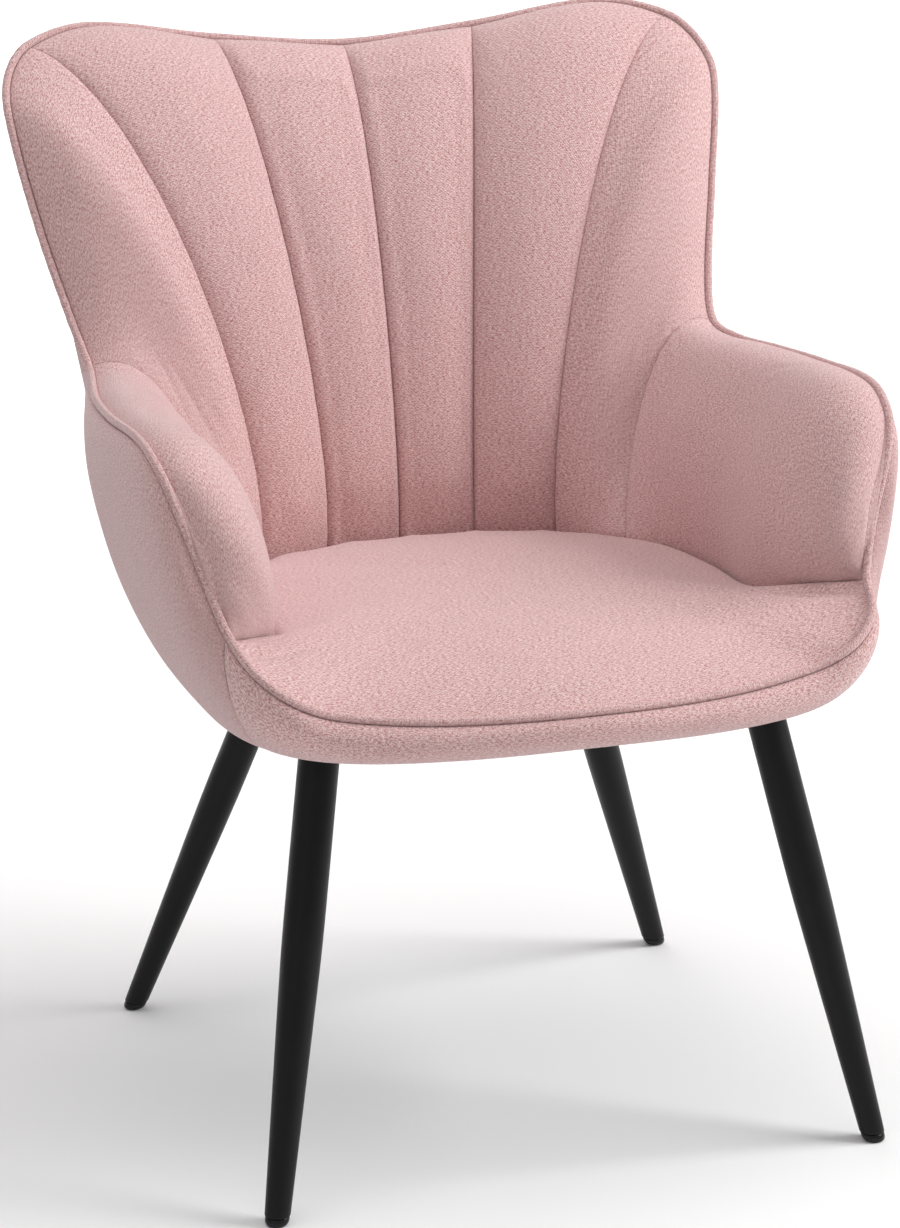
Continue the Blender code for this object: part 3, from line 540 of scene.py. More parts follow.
def heathered_cloth(name, tone, bias=0.0):
    """The brushed weave of the cover: tone scales its colour, bias turns its threads."""
    base = tuple(tone * (p + d) / 2 for p, d in zip(PALE_FIBRE, DARK_FIBRE))
    material, shader = new_material(name, base, 0.93)
    weave_map = node(material, "ShaderNodeUVMap", uv_map="weave").outputs[0]
    turned = node(material, "ShaderNodeMapping", [("Vector", weave_map)], Rotation=(0, 0, bias))
    threads = turned.outputs[0]
    wobble = stretched_noise(material, threads, (160.0, 160.0, 1.0))
    apart = node(material, "ShaderNodeSeparateXYZ", [("Vector", threads)])
    waves = []
    for axis in ("X", "Y"):
        phase = math_node(material, "MULTIPLY", apart.outputs[axis], value=math.pi / THREAD_PITCH)
        drift = math_node(material, "MULTIPLY", wobble, value=5.0)
        waves.append(math_node(material, "SINE", math_node(material, "ADD", phase, drift)))
    weave = math_node(material, "MULTIPLY", waves[0], waves[1])
    along = stretched_noise(material, threads, DASH)
    across = stretched_noise(material, threads, DASH_ACROSS)
    over = ramp(material, weave, 0.25, 0.75)
    fibre = node(material, "ShaderNodeMix", [(0, over), (2, along), (3, across)]).outputs[0]
    pale = tuple(tone * c for c in PALE_FIBRE)
    dark = tuple(tone * c for c in DARK_FIBRE)
    heather = ramp(material, fibre, 0.38, 0.60, dark, pale)
    # painted shade: the cloth's colour is darkened in the hollows of the weave, where the threads dip
    weave_hollow_shade = ramp(material, weave, 0.0, 0.5, (0.80, 0.80, 0.80))
    color = mix_colors(material, 0.55, heather, weave_hollow_shade, "MULTIPLY")
    nap = ramp(material, stretched_noise(material, threads, (28.0, 34.0, 1.0), 4.0), 0.3, 0.7)
    worn = mix_colors(material, nap, (0.975, 0.970, 0.970), (1.02, 1.018, 1.018))
    color = mix_colors(material, 1.0, color, worn, "MULTIPLY")
    join(shader, "Base Color", color)
    fuzz = stretched_noise(material, threads, (2300.0, 2300.0, 1.0), 3.0, 0.7)
    normal = bump(material, weave, 0.32, 0.0005)
    normal = bump(material, fuzz, 0.60, 0.0006, normal)
    normal = bump(material, nap, 0.10, 0.0008, normal)
    join(shader, "Normal", normal)
    shader.inputs["Specular IOR Level"].default_value = 0.18
    shader.inputs["Sheen Weight"].default_value = 0.50
    shader.inputs["Sheen Roughness"].default_value = 0.40
    shader.inputs["Sheen Tint"].default_value = (0.98, 0.96, 1.0, 1)
    return material


cover_cloth = heathered_cloth("upholstery_fabric", 1.0)
seat_cloth = heathered_cloth("covered_foam", 1.02)
piping_cloth = heathered_cloth("piping_fabric", 0.94, math.radians(45))
print("cloth materials:", cover_cloth.name, seat_cloth.name, piping_cloth.name)

# %% [markdown]
# The legs have a satin black powder coat, which dries with a very fine orange peel. The glides are
# moulded nylon, glossy on the side and scuffed by the floor. The dust cover is a spun cloth that
# isn't woven. Inside are birch plywood, a pine board and zinc-plated fixings.

# %% Coats, plastic, wood and plated steel


def object_noise(material, scale, detail=3.0):
    """Noise in the piece's own space."""
    place = node(material, "ShaderNodeTexCoord").outputs["Object"]
    links = [("Vector", place)]
    made = node(material, "ShaderNodeTexNoise", links, Scale=scale, Detail=detail)
    return made.outputs["Fac"]


def coated_metal(name, color, roughness, metallic, grain, depth):
    """A coated or plated metal: fine bumps, and a roughness that varies a little."""
    material, shader = new_material(name, color, roughness, metallic)
    peel = object_noise(material, grain)
    smudge = ramp(material, object_noise(material, 35.0, 5.0), 0.3, 0.7)
    varied = node(material, "ShaderNodeMapRange", [("Value", smudge)])
    varied.inputs["To Min"].default_value = roughness * 0.88
    varied.inputs["To Max"].default_value = roughness * 1.15
    join(shader, "Roughness", varied.outputs[0])
    handled = mix_colors(material, smudge, color, tuple(1.12 * c for c in color))
    join(shader, "Base Color", handled)
    if not metallic:
        shader.inputs["Specular IOR Level"].default_value = 0.22
    join(shader, "Normal", bump(material, peel, 0.25, depth))
    return material


def grained_wood(name, dark, light, stretch):
    """Wood with its grain drawn along one axis."""
    material, shader = new_material(name, light, 0.62)
    place = node(material, "ShaderNodeTexCoord").outputs["Object"]
    grain = stretched_noise(material, place, stretch, 6.0)
    fine = stretched_noise(material, place, tuple(4 * s for s in stretch), 3.0)
    both = math_node(material, "MULTIPLY", grain, fine)
    color = ramp(material, both, 0.15, 0.38, dark, light)
    join(shader, "Base Color", color)
    join(shader, "Normal", bump(material, fine, 0.2, 0.0003))
    return material


def spun_cloth(name):
    """Black spun-bonded cloth: short matted fibres and small embossed dots."""
    material, shader = new_material(name, (0.018, 0.018, 0.019), 0.88)
    fibres = object_noise(material, 900.0, 4.0)
    place = node(material, "ShaderNodeTexCoord").outputs["Object"]
    dots = node(material, "ShaderNodeTexVoronoi", [("Vector", place)], Scale=420.0)
    color = ramp(material, fibres, 0.3, 0.7, (0.012, 0.012, 0.013), (0.034, 0.034, 0.036))
    join(shader, "Base Color", color)
    normal = bump(material, dots.outputs["Distance"], 0.4, 0.0004)
    normal = bump(material, fibres, 0.5, 0.0003, normal)
    join(shader, "Normal", normal)
    shader.inputs["Sheen Weight"].default_value = 0.1
    return material


powder_coat = coated_metal("black_powder_coat", (0.0045, 0.0045, 0.0050), 0.40, 0.0, 950.0, 0.00012)
nylon = coated_metal("glide_plastic", (0.011, 0.011, 0.011), 0.16, 0.0, 400.0, 0.00004)
zinc = coated_metal("zinc_plated_steel", (0.60, 0.60, 0.57), 0.33, 1.0, 1400.0, 0.00006)
birch = grained_wood("bent_plywood", (0.50, 0.34, 0.19), (0.68, 0.50, 0.31), (60.0, 60.0, 6.0))
pine = grained_wood("solid_wood", (0.56, 0.38, 0.20), (0.76, 0.59, 0.38), (8.0, 90.0, 90.0))
dust_cloth = spun_cloth("dust_cloth")
print("materials:", len(bpy.data.materials))

# %% [markdown]
# ## Building a piece
# Most soft pieces are grids of points: one layer that is seen and one that is hidden, joined round
# the border into a closed body. Its weave map is measured on the seen layer in metres, across from
# the middle column and down from the first row, so the threads run straight down each panel.

# %% Mesh helpers
CENTRE_BEHIND_FEET = 0.069
PAD_DEPTH = 0.020


def make_piece(name, points, faces, material, weave=None):
    """A piece with these points, closed and facing outward, that rides on the chair."""
    points = np.asarray(points, float) - [0, CENTRE_BEHIND_FEET, 0]
    mesh = bpy.data.meshes.new(name)
    mesh.from_pydata(points.tolist(), [], [list(map(int, face)) for face in faces])
    shaped = bmesh.new()
    shaped.from_mesh(mesh)
    bmesh.ops.recalc_face_normals(shaped, faces=shaped.faces)
    shaped.to_mesh(mesh)
    shaped.free()
    if weave is not None:
        corners = np.empty(len(mesh.loops), np.int32)
        mesh.loops.foreach_get("vertex_index", corners)
        layer = mesh.uv_layers.new(name="weave")
        layer.data.foreach_set("uv", np.asarray(weave, np.float32)[corners].ravel())
    mesh.shade_smooth()
    mesh.materials.append(material)
    piece = bpy.data.objects.new(name, mesh)
    SCENE.collection.objects.link(piece)
    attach(piece, "root")
    return piece


def weave_map(grid):
    """Metres across and down a grid of points, from its middle column and its first row."""
    steps = np.linalg.norm(np.diff(grid, axis=0), axis=-1)
    across = np.concatenate([np.zeros((1, grid.shape[1])), np.cumsum(steps, axis=0)])
    middle = len(grid) // 2
    across -= across[middle]
    down = np.concatenate([[0], np.cumsum(np.linalg.norm(np.diff(grid[middle], axis=0), axis=-1))])
    return np.stack([across, np.broadcast_to(down, across.shape)], axis=-1).reshape(-1, 2)


def grid_body(name, near, far, material):
    """The closed body between a seen grid and a hidden one with the same rows and columns."""
    rows, columns = near.shape[:2]
    count = rows * columns
    index = np.arange(count).reshape(rows, columns)
    corners = (index[:-1, :-1], index[:-1, 1:], index[1:, 1:], index[1:, :-1])
    front = np.stack(corners, axis=-1).reshape(-1, 4)
    border = np.concatenate([index[0], index[1:, -1], index[-1, -2::-1], index[-2:0:-1, 0]])
    after = np.roll(border, -1)
    rim = np.stack([after, border, border + count, after + count], axis=-1)
    points = np.concatenate([near.reshape(-1, 3), far.reshape(-1, 3)])
    weave = weave_map(near)
    faces = np.concatenate([front, front[:, ::-1] + count, rim])
    return make_piece(name, points, faces, material, np.concatenate([weave, weave]))


def capped_rings(rings, count):
    """The faces from a first point over so many rings of points to a last point."""
    here = range(count)
    faces = [(0, 1 + k, 1 + (k + 1) % count) for k in here]
    for low in range(1, 1 + (rings - 1) * count, count):
        high = low + count
        faces += [(low + k, high + k, high + (k + 1) % count, low + (k + 1) % count) for k in here]
    low = 1 + (rings - 1) * count
    return faces + [(low + k, low + count, low + (k + 1) % count) for k in here]


def seam_spacing(first, last, count):
    """Distances from one seam to the next, closest together beside the seams."""
    turn = np.linspace(0, np.pi, count)
    return first + (last - first) * (1 - np.cos(turn)) / 2


def soft_noise(seed, shape, cells):
    """Smooth random numbers from -1 to 1 on a grid, with about this many waves each way."""
    random = np.random.default_rng(seed)
    x = np.linspace(0, 1, shape[0])[:, None]
    y = np.linspace(0, 1, shape[1])[None]
    total = np.zeros(shape)
    for _ in range(10):
        fx, fy = random.uniform(0.4, 1.0, 2) * cells
        phase = random.uniform(0, 2 * np.pi, 2)
        total += np.sin(2 * np.pi * fx * x + phase[0]) * np.sin(2 * np.pi * fy * y + phase[1])
    return total / 5


print("mesh helpers ready")

# %% [markdown]
# ## Channels, wings and arms
# Each pad is foam under a cover that is sewn down along its seams. Beside a seam the cover dives
# steeply into a sharp valley. The thread also gathers it a little, so short faint puckers run away
# from the seam. The pads start at their sewn shape, and further down the cloth solver blows them
# up against their seams, which is what the foam does.

# %% Pads on the wall
PANELS = {
    "back_channel_inner": ("back_middle", "inner_seam", 44),
    "back_channel_outer": ("inner_seam", "wing_seam", 50),
    "wing_pad": ("wing_seam", "elbow", 60),
    "arm_pad": ("elbow", "pinch", 110),
}
PAD_ROWS = 76
VALLEY_DEPTH = 0.0045
VALLEY_WIDTH = 0.0060
PUCKER_HEIGHT = 0.00035
PUCKER_WIDTH = 0.012
PUCKER_TURNS = 95
SWELL_HEIGHT = 0.0007
PAD_ROW_SHARES = np.linspace(0, 1, PAD_ROWS) ** 1.25


def pad_layers(first, last, count, seed, sign):
    """The seen and the hidden layer of one pad, from one seam to the next."""
    distance = seam_spacing(first + GAP / 2, last - GAP / 2, count)
    t, rows = np.meshgrid(distance, PAD_ROW_SHARES, indexing="ij")
    near = inside(t, rows)
    far = outside(t, rows)
    thickness = np.linalg.norm(far - near, axis=-1, keepdims=True)
    across = (far - near) / thickness
    beside = np.minimum(t - first, last - t)
    fade = np.clip(rows * 9, 0, 1)
    valley = VALLEY_DEPTH * np.exp(-beside / VALLEY_WIDTH) * fade
    waves = np.sin(rows * PUCKER_TURNS + 3 * soft_noise(seed, t.shape, 5.0))
    pucker = PUCKER_HEIGHT * waves * np.exp(-beside / PUCKER_WIDTH) * fade
    swell = SWELL_HEIGHT * soft_noise(seed + 1, t.shape, 3.0) * np.clip(beside / 0.02, 0, 1) * fade
    sunk = np.minimum(valley + pucker - swell, 0.45 * thickness[..., 0])
    near = near + across * sunk[..., None]
    hidden = near + across * np.clip(0.5 * thickness, 0.0008, PAD_DEPTH)
    tucked = behind_piping(distance, inside_leave(distance))[:, None]
    behind = tucked + ALLOWANCE_THICKNESS * into_the_wall(distance)[:, None]
    near = np.concatenate([tucked, near], axis=1)
    hidden = np.concatenate([behind, hidden], axis=1)
    rows = np.concatenate([rows[:, :1], rows], axis=1)
    for layer in (near, hidden):
        above = np.maximum(layer[..., 2], BASE_Z)
        layer[..., 2] = np.where(rows > VISIBLE_SHARE, above, layer[..., 2])
        layer[..., 0] *= sign
    return near, hidden


def smooth_step(x):
    """A soft rise from 0 at 0 to 1 at 1."""
    x = np.clip(x, 0, 1)
    return x * x * (3 - 2 * x)


def pad_freedom(width, columns):
    """How free each point of a pad is to rise: 0 on its seams and behind it, 1 in its middle."""
    across = seam_spacing(0, width, columns)
    beside = smooth_step(np.minimum(across, width - across) / 0.024)
    down = np.concatenate([[0], PAD_ROW_SHARES])
    seen = beside[:, None] * smooth_step(down / 0.22) * smooth_step((0.98 - down) / 0.1)
    return np.concatenate([seen.ravel(), np.zeros(seen.size)])


pads = []
for name, (start, end, count) in PANELS.items():
    for side, sign in (("left", -1), ("right", 1)):
        layers = pad_layers(KEY[start], KEY[end], count, len(pads) + 1, sign)
        piece = grid_body(f"{name}_{side}_cushion", *layers, cover_cloth)
        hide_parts(f"{name}_{side}")
        pads.append((piece, pad_freedom(KEY[end] - KEY[start], count)))
print("pads:", len(pads), "with", sum(len(pad.data.vertices) for pad, _ in pads), "points")

# %% [markdown]
# ## Seat
# The seat is one crowned block of foam. Its cover rolls over the front edge to the piping and
# tucks in along the arms and the back, where it leaves a soft dark line. Where it is pulled round
# to the front corners it makes one soft crease on each side.

# %% Seat pad
SEAT_TOP_Z = 0.4365
SEAT_RINGS = 54
SEAT_FIT = 0.994
SEAT_FOOT_FIT = 0.985
SEAT_FOOT_INSET = 0.012
SEAT_TUCK = 0.006
SEAT_CROWN = 0.003
SEAT_ROLL = 4
CREASES = (
    ((-0.226, -0.160), (-0.170, -0.132), 0.0042),
    ((0.228, -0.150), (0.174, -0.116), 0.0036),
)


def seat_outline():
    """The line where the seat meets the wall and the piping, and the same line at the board."""
    wall = np.linspace(0, KEY["pinch"], 150)
    front = np.linspace(KEY["pinch"], LAST, 66)[1:]
    edge_wall = inside(wall, np.full_like(wall, VISIBLE_SHARE)) * [SEAT_FIT, SEAT_FIT, 1]
    foot_wall = inside(wall, np.ones_like(wall)) * [SEAT_FOOT_FIT, SEAT_FOOT_FIT, 1]
    edge_front = sheet_start(front, rows_at(SEAT_FRONT, 0, front))
    angle = np.radians(rows_at(OUTSIDE, 1, front)[..., 0])
    foot_front = hem(angle)
    foot_front[:, :2] -= unit(foot_front[:, :2]) * SEAT_FOOT_INSET
    edge = np.concatenate([edge_wall, edge_front])
    foot = np.concatenate([foot_wall, foot_front])
    foot[:, 2] = BASE_Z
    mirror = [-1, 1, 1]
    edge = np.concatenate([edge, edge[-2:0:-1] * mirror])
    foot = np.concatenate([foot, foot[-2:0:-1] * mirror])
    by_wall = np.concatenate([np.ones_like(wall), np.zeros_like(front)])
    return edge, foot, np.concatenate([by_wall, by_wall[-2:0:-1]])


def crease_depth(points):
    """How far the two corner creases press into the seat."""
    depth = np.zeros(points.shape[:-1])
    for start, end, deep in CREASES:
        start, end = np.array(start), np.array(end)
        way = end - start
        share = np.clip(((points[..., :2] - start) @ way) / (way @ way), -0.4, 1.4)
        away = np.linalg.norm(points[..., :2] - start - share[..., None] * way, axis=-1)
        ends = np.clip((1.4 - share) / 1.1, 0, 1) ** 1.5
        fold = np.exp(-((away / 0.006) ** 2))
        lips = 0.45 * np.exp(-((away / 0.015) ** 2))
        depth += deep * ends * (fold - lips)
    return depth


def make_seat():
    """The seat as rings from the middle to its outline, then down its side to the board."""
    edge, foot, by_wall = seat_outline()
    count = len(edge)
    centre = np.array([0, edge[:, 1].mean() + 0.02, SEAT_TOP_Z])
    shares = np.sin(np.linspace(0, np.pi / 2, SEAT_RINGS))[1:]
    rings = []
    for share in shares:
        ring = centre + (edge - centre) * share
        ring[:, 2] = SEAT_TOP_Z + (edge[:, 2] - SEAT_TOP_Z) * share**SEAT_ROLL
        ring[:, 2] += SEAT_CROWN * (1 - share**2)
        ring[:, 2] -= SEAT_TUCK * by_wall * np.exp(-(1 - share) / 0.022)
        ring[:, 2] -= crease_depth(ring)
        rings.append(ring)
    for down in (0.12, 0.4, 0.75, 1.0):
        tuck = [0, 0, SEAT_TUCK * (1 - down)] * by_wall[:, None]
        rings.append(edge + (foot - edge) * down - tuck)
    top = centre + [0, 0, SEAT_CROWN]
    points = np.concatenate([[top], *rings, [[centre[0], centre[1], BASE_Z]]])
    faces = capped_rings(len(rings), count)
    seat = make_piece("seat_cushion", points, faces, seat_cloth, points[:, :2])
    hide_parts("seat_pad")
    freedom = np.zeros(len(points))
    freedom[0] = 1
    freedom[1:1 + count * len(shares)] = np.repeat(smooth_step((0.95 - shares) / 0.3), count)
    return seat, freedom


seat, seat_freedom = make_seat()
print("seat:", len(seat.data.vertices), "points")

# %% [markdown]
# ## Blowing up the pads
# The solver runs once for all the pads. Air pressure pushes each seen layer outward, while the
# hidden layer and the sewn borders are pinned and gravity is off. How far a point may move is
# capped, so that the pads stay inside the chair's own box, and fades out toward the seams, so that
# no ridge shows where the pinned border starts.

# %% Cloth simulation
FRAMES = 20
PRESSURE = 4.0
PAD_RISE_CAP = 0.0035
SEAT_RISE_CAP = 0.0030


def coordinates(mesh):
    """A mesh's points as an array."""
    flat = np.empty(len(mesh.vertices) * 3)
    mesh.vertices.foreach_get("co", flat)
    return flat.reshape(-1, 3)


def add_cloth(piece, freedom):
    """A cloth modifier that holds every point that isn't free."""
    held = piece.vertex_groups.new(name="sewn_down")
    held.add(np.flatnonzero(freedom < 0.02).tolist(), 1.0, "REPLACE")
    cloth = piece.modifiers.new("cloth", "CLOTH")
    settings = cloth.settings
    settings.quality = 6
    settings.mass = 0.25
    settings.tension_stiffness = 12
    settings.compression_stiffness = 12
    settings.bending_stiffness = 0.6
    settings.use_pressure = True
    settings.uniform_pressure_force = PRESSURE
    settings.effector_weights.gravity = 0
    settings.vertex_group_mass = held.name
    cloth.point_cache.frame_start = 1
    cloth.point_cache.frame_end = FRAMES


def settled(piece, freedom, cap):
    """The solved shape, with each point's move capped and faded toward what is sewn down."""
    start = coordinates(piece.data)
    solved = coordinates(piece.evaluated_get(bpy.context.evaluated_depsgraph_get()).data)
    moved = solved - start
    length = np.linalg.norm(moved, axis=1, keepdims=True)
    moved *= freedom[:, None] * cap * np.tanh(length / cap) / np.maximum(length, 1e-9)
    return start + moved, float(np.linalg.norm(moved, axis=1).max())


for piece, freedom in [*pads, (seat, seat_freedom)]:
    add_cloth(piece, freedom)
for frame_number in range(1, FRAMES + 1):
    SCENE.frame_set(frame_number)
caps = [(*pad, PAD_RISE_CAP) for pad in pads] + [(seat, seat_freedom, SEAT_RISE_CAP)]
results = [settled(*job) for job in caps]
for (piece, _, _), (points, rise) in zip(caps, results):
    piece.modifiers.clear()
    piece.data.vertices.foreach_set("co", points.ravel())
    piece.data.update()
    print(f"{piece.name}: rose {1000 * rise:.1f} mm")
SCENE.frame_set(1)

# %% [markdown]
# ## Outside covers
# The outside is three panels, stretched over the frame and sewn to the piping: the back, and one
# round each side. A fourth panel closes the front under the seat. Each is one layer of cloth. Its
# hem turns under the seat board, where it is stapled, and beside a seam it dips into the seam.

# %% Panels of the outside
CLOTH_THICKNESS = 0.0012
SEAM_GAP = 0.0010
SEAM_DIP = 0.0016
SEAM_DIP_WIDTH = 0.004
PULL_HEIGHT = 0.0004
HEM_TURN = ((0.0004, -0.0003), (0.0022, -0.0005), (0.0042, -0.0005))


def side_of(t):
    """What mirrors a point of the right half to the side of a signed distance."""
    return np.stack([np.where(t < 0, -1, 1), np.ones_like(t), np.ones_like(t)], axis=-1)


def panel_layers(t, v):
    """A panel's outer face and its lining, as grids."""
    t, v = np.meshgrid(t, v, indexing="ij")
    distance = np.abs(t)
    face = outside(distance, v)
    ahead = outside(np.minimum(distance + STEP, LAST), v)
    along = ahead - outside(np.maximum(distance - STEP, 0), v)
    down = outside(distance, np.minimum(v + STEP, 1)) - outside(distance, np.maximum(v - STEP, 0))
    inward = unit(np.cross(down, along))
    beside = np.minimum(np.abs(t - t[:1]), np.abs(t - t[-1:]))
    dip = SEAM_DIP * np.exp(-beside / SEAM_DIP_WIDTH) * np.clip(v * 8, 0, 1)
    face = face + inward * dip[..., None]
    return face * side_of(t), (face + inward * CLOTH_THICKNESS) * side_of(t)


def outside_panel(node_name, t, rows, seed):
    """One panel of the outside, with its hem turned under."""
    v = np.linspace(0, 1, rows) ** 1.1
    face, lining = panel_layers(t, v)
    fade = np.clip(v * 5, 0, 1) * np.clip((1 - v) * 8, 0, 1)
    pull = PULL_HEIGHT * soft_noise(seed, face.shape[:2], 4.0) * fade
    way = unit(face - lining)
    face = face + way * pull[..., None]
    lining = lining + way * pull[..., None]
    distance = np.abs(t)
    tucked = behind_piping(distance, rows_at(OUTSIDE, 0, distance)) * side_of(t)
    tucked = tucked[:, None]
    deeper = (into_the_wall(distance) * side_of(t))[:, None]
    hem_line = face[:, -1:]
    outward = unit(hem_line * [1, 1, 0])
    under = [hem_line - outward * inset + [0, 0, rise] for inset, rise in HEM_TURN]
    hidden = [line + [0, 0, 0.0008] - outward * 0.0006 for line in under]
    face = np.concatenate([tucked, face, *under], axis=1)
    lining = np.concatenate([tucked + ALLOWANCE_THICKNESS * deeper, lining, *hidden], axis=1)
    panel = grid_body(f"{node_name}_cloth", face, lining, cover_cloth)
    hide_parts(node_name)


back_right = np.linspace(0, KEY["wing_middle"], 90)
back_line = np.concatenate([-back_right[:0:-1], back_right])
side_line = seam_spacing(KEY["wing_middle"] + SEAM_GAP, KEY["pinch"], 130)
front_right = np.linspace(KEY["pinch"] + SEAM_GAP, LAST, 70)
front_line = np.concatenate([front_right, -front_right[-2::-1]])
outside_panel("outside_back_cover", back_line, 70, 21)
outside_panel("outside_side_cover_right", side_line, 70, 22)
outside_panel("outside_side_cover_left", -side_line, 70, 23)
outside_panel("front_border", front_line, 26, 24)

# %% [markdown]
# ## Piping
# One cord in a bias strip runs round the whole edge and hides the seam between the inside and the
# outside. The strip is closed by a line of stitches on the side of the cover. It isn't perfectly
# round: the strip pulls tight and slack along its length.

# %% Piping
PIPING_RINGS = 760
PIPING_SIDES = 16
CORD_RADIUS = PIPING_RADIUS * 0.985
GROOVE_DEPTH = 0.16
GROOVE_ANGLE = np.pi * 0.35
GROOVE_WIDTH = 0.25


def make_piping():
    """A tube along the piped edge, with a shallow groove where its strip is sewn."""
    right = np.linspace(0, LAST, PIPING_RINGS // 2 + 1)
    line = np.concatenate([piped_edge(right), piped_edge(right[-2:0:-1]) * [-1, 1, 1]])
    leave = into_the_wall(right)
    inward = np.concatenate([leave, leave[-2:0:-1] * [-1, 1, 1]])
    along = unit(np.roll(line, -1, axis=0) - np.roll(line, 1, axis=0))
    inward = unit(inward - along * (inward * along).sum(-1, keepdims=True))
    aside = np.cross(along, inward)
    count = len(line)
    length = np.linalg.norm(np.roll(line, -1, axis=0) - line, axis=1).cumsum()
    turn = np.linspace(0, 2 * np.pi, PIPING_SIDES, endpoint=False)
    groove = 1 - GROOVE_DEPTH * np.exp(-(((turn - GROOVE_ANGLE) / GROOVE_WIDTH) ** 2))
    pull = 1 + 0.03 * np.sin(length * 420) * np.sin(length * 57) + 0.015 * np.sin(length * 1350)
    radius = CORD_RADIUS * groove * pull[:, None]
    circle = np.cos(turn)[:, None] * inward[:, None] + np.sin(turn)[:, None] * aside[:, None]
    points = (line[:, None] + radius[..., None] * circle).reshape(-1, 3)
    around = turn * PIPING_RADIUS
    weave = np.stack(np.broadcast_arrays(length[:, None], around[None]), axis=-1).reshape(-1, 2)
    faces = []
    for i in range(count):
        here, after = i * PIPING_SIDES, (i + 1) % count * PIPING_SIDES
        for k in range(PIPING_SIDES):
            m = (k + 1) % PIPING_SIDES
            faces.append((here + k, here + m, after + m, after + k))
    piece = make_piece("piping_cord", points, faces, piping_cloth, weave)
    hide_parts("piping")
    print("piping:", round(float(length[-1]), 2), "m of cord")


make_piping()

# %% [markdown]
# ## Dust cover
# Black spun cloth closes the underside. It is stapled round the edge and held down by the four
# plates, and it sags a little between them.

# %% Dust cover
DUST_RINGS = 40
DUST_POINTS = 168
DUST_SAG = 0.0022
DUST_GATHER = 0.00035
DUST_THICKNESS = 0.0008
DUST_INSET = 0.0065
PLATE_CENTRES = ((-0.165, -0.125), (-0.165, 0.135), (0.165, -0.125), (0.165, 0.135))
PLATE_REACH = 0.075


def plate_clearance(points):
    """0 over a leg's plate, rising to 1 a few centimetres away from all of them."""
    away = [np.linalg.norm(points[:, :2] - centre, axis=1) for centre in PLATE_CENTRES]
    return np.clip((np.min(away, axis=0) - PLATE_REACH) / 0.05, 0, 1)


def make_dust_cover():
    """Two layers of rings joined at the edge, the lower one with its sag and its gathers."""
    angle = np.linspace(0, 2 * np.pi, DUST_POINTS, endpoint=False)
    rim = hem(angle)
    rim[:, :2] -= unit(rim[:, :2]) * DUST_INSET
    shares = np.sin(np.linspace(0, np.pi / 2, DUST_RINGS))[1:]
    lower, upper = [], []
    for share in shares:
        ring = rim * [share, share, 1]
        clear = plate_clearance(ring)
        gather = DUST_GATHER * np.sin(angle * 42) * np.exp(-(1 - share) / 0.05)
        sag = DUST_SAG * (1 - share**6) * clear
        ring[:, 2] += 0.0002 - sag - gather * clear
        lower.append(ring)
        upper.append(ring + [0, 0, DUST_THICKNESS])
    middle = np.array([[0, 0, HEM_Z - DUST_SAG]])
    upper_middle = middle + [0, 0, DUST_THICKNESS]
    points = np.concatenate([middle, *lower, *upper[::-1], upper_middle])
    faces = capped_rings(2 * len(shares), DUST_POINTS)
    cloth = make_piece("dust_cover_cloth", points, faces, dust_cloth)
    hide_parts("dust_cover")


make_dust_cover()

# %% [markdown]
# ## Legs and glides
# Each leg is a round steel tube, straight near the top and tapering to the foot. It is welded to
# its plate, and the coat softens the bead of the weld. A nylon glide plugs the foot. It is turned
# like the leg from a profile of radius and height and leans with it.

# %% Legs
LEGS = {
    "front_left": ((-0.255, -0.235), (0.191, 0.270), 31.0),
    "front_right": ((0.255, -0.235), (-0.191, 0.270), 149.0),
    "rear_left": ((-0.248, 0.239), (0.343, -0.217), -32.0),
    "rear_right": ((0.248, 0.239), (-0.343, -0.217), 212.0),
}
LEG_TOP_RADIUS = 0.0165
LEG_FOOT_RADIUS = 0.0103
PLATE_BOTTOM_Z = HEM_Z - GAP - 0.004
GLIDE_HEIGHT = 0.007
TURNED_SIDES = 64


def turned(name, profile, material, foot, lean=(0.0, 0.0), sides=TURNED_SIDES, hexagon=()):
    """A body turned from (radius, height) points, leaning as it rises; a radius of 0 closes an end.

    The rings that are numbered in hexagon have six flats instead.
    """
    points, rings = [], []
    turns = 2 * np.pi * np.arange(sides) / sides
    flats = 1 / np.cos((turns % (np.pi / 3)) - np.pi / 6)
    for number, (radius, height) in enumerate(profile):
        x, y = foot[0] + lean[0] * height, foot[1] + lean[1] * height
        start = len(points)
        if radius == 0:
            points.append((x, y, height))
            rings.append([start])
            continue
        reach = radius * (flats if number in hexagon else np.ones(sides))
        points += [(x + r * math.cos(a), y + r * math.sin(a), height) for a, r in zip(turns, reach)]
        rings.append(list(range(start, start + sides)))
    faces = []
    for low, high in zip(rings, rings[1:]):
        for k in range(sides):
            n = (k + 1) % sides
            if len(low) == 1:
                faces.append((low[0], high[n], high[k]))
            elif len(high) == 1:
                faces.append((low[k], low[n], high[0]))
            else:
                faces.append((low[k], low[n], high[n], high[k]))
    return make_piece(name, points, faces, material)


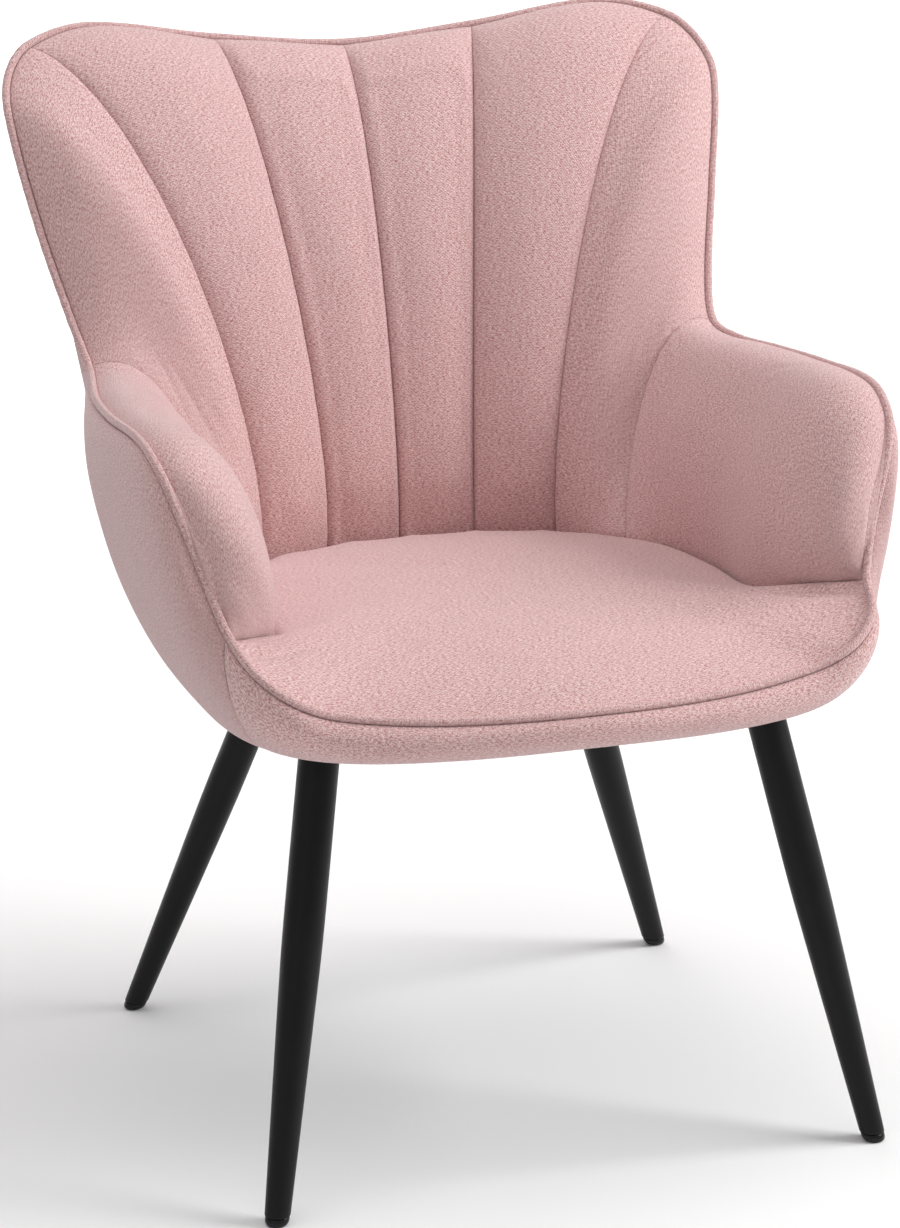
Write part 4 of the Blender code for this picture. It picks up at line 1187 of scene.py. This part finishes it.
def leg_profile():
    """Radius and height up a leg: a rounded foot, the taper, the straight part and the weld."""
    foot, top = GLIDE_HEIGHT + GAP, PLATE_BOTTOM_Z - GAP
    profile = [(0, foot), (LEG_FOOT_RADIUS - 0.0009, foot)]
    profile += [(LEG_FOOT_RADIUS - 0.0002, foot + 0.0002), (LEG_FOOT_RADIUS, foot + 0.0009)]
    knee = top * 0.58
    for height in np.linspace(foot + 0.003, top - 0.0045, 40):
        share = (height - foot) / (knee - foot)
        soft = 0.5 * (share + 1 - math.sqrt((share - 1) ** 2 + 0.01))
        profile.append((LEG_FOOT_RADIUS + (LEG_TOP_RADIUS - LEG_FOOT_RADIUS) * soft, height))
    for turn in np.linspace(0, math.pi / 2, 7)[1:]:
        grown = 0.0026 * (1 - math.cos(turn))
        profile.append((LEG_TOP_RADIUS + grown, top - 0.0045 + 0.0042 * math.sin(turn)))
    return profile + [(0, top)]


def glide_profile():
    """Radius and height up a glide: a flat, a rounded dome and its rim, up to the tube's end."""
    rim = LEG_FOOT_RADIUS - 0.0006
    profile = [(0, 0), (rim * 0.62, 0)]
    for turn in np.linspace(0, math.pi / 2, 12)[1:]:
        height = GLIDE_HEIGHT * 0.62 * (1 - math.cos(turn))
        profile.append((rim * (0.62 + 0.38 * math.sin(turn)), height))
    profile += [(rim, GLIDE_HEIGHT * 0.93), (rim - 0.0004, GLIDE_HEIGHT), (0, GLIDE_HEIGHT)]
    return profile


for name, (foot, lean, _) in LEGS.items():
    leg = turned(f"leg_{name}_tube", leg_profile(), powder_coat, foot, lean)
    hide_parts(f"leg_{name}")
    glide = turned(f"glide_{name}_foot", glide_profile(), nylon, foot, lean)
    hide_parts(f"glide_{name}")
print("legs and glides:", 2 * len(LEGS))

# %% [markdown]
# ## Bolts, plates and the frame inside
# Three button-head bolts hold each plate, with a hexagon socket. The plates and the gussets are
# plain cut steel, so the CAD nodes stay and only get a softened edge, which is where a powder
# coat shows its highlight. What is hidden in the upholstery keeps its node too, with a finish.

# %% Bolts
BOLT_PATTERN = ((0.034, -0.021), (0.034, 0.021), (0.060, 0.0))
HEAD_RADIUS = 0.0058
HEAD_HEIGHT = 0.0034
SHANK_RADIUS = 0.003


def bolt_profile():
    """Radius and height of a bolt from its socket, over the head and up the shank."""
    head_top = PLATE_BOTTOM_Z - GAP
    head = head_top - HEAD_HEIGHT
    profile = [(0, head + 0.0019), (0.0019, head + 0.0018), (0.0020, head + 0.0002), (0.0023, head)]
    for turn in np.linspace(0.25, math.pi / 2, 8):
        radius = SHANK_RADIUS + (HEAD_RADIUS - SHANK_RADIUS) * math.sin(turn)
        profile.append((radius, head + 0.0026 * (1 - math.cos(turn))))
    end = BASE_Z - 0.0015
    profile += [(HEAD_RADIUS, head_top), (SHANK_RADIUS, head_top), (SHANK_RADIUS, end), (0, end)]
    return profile


for name, (foot, lean, turn) in LEGS.items():
    c, s = math.cos(math.radians(turn)), math.sin(math.radians(turn))
    x, y = foot[0] + lean[0] * PLATE_BOTTOM_Z, foot[1] + lean[1] * PLATE_BOTTOM_Z
    for number, (along, across) in enumerate(BOLT_PATTERN, 1):
        place = (x + along * c - across * s, y + along * s + across * c)
        bolt = turned(f"bolt_{name}_{number}", bolt_profile(), zinc, place, sides=36, hexagon=(1, 2))
        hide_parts(f"leg_bolt_{name}_{number}")
print("bolts:", len(LEGS) * len(BOLT_PATTERN))

# %% [markdown]
# A bevel modifier softens the edges of each node that stays. It takes only edges that turn by more
# than 50 degrees, so round holes keep their shape.

# %% Finishes of the CAD nodes that stay
NODE_FINISH = {
    "leg_plate": (powder_coat, 0.0009),
    "leg_gusset": (powder_coat, 0.0007),
    "t_nut": (zinc, 0.0002),
    "back_plywood": (birch, 0.0004),
    "arm_plywood": (birch, 0.0004),
    "seat_board": (pine, 0.0006),
}
finished = 0
for cad_name, cad_node in sorted(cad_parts.items()):
    for start, (material, width) in NODE_FINISH.items():
        if not cad_name.startswith(start):
            continue
        cad_node.data.materials.clear()
        cad_node.data.materials.append(material)
        edge = cad_node.modifiers.new("softened_edge", "BEVEL")
        edge.width = width
        edge.segments = 3
        edge.limit_method = "ANGLE"
        edge.angle_limit = math.radians(50)
        finished += 1
print("CAD nodes with a finish:", finished)
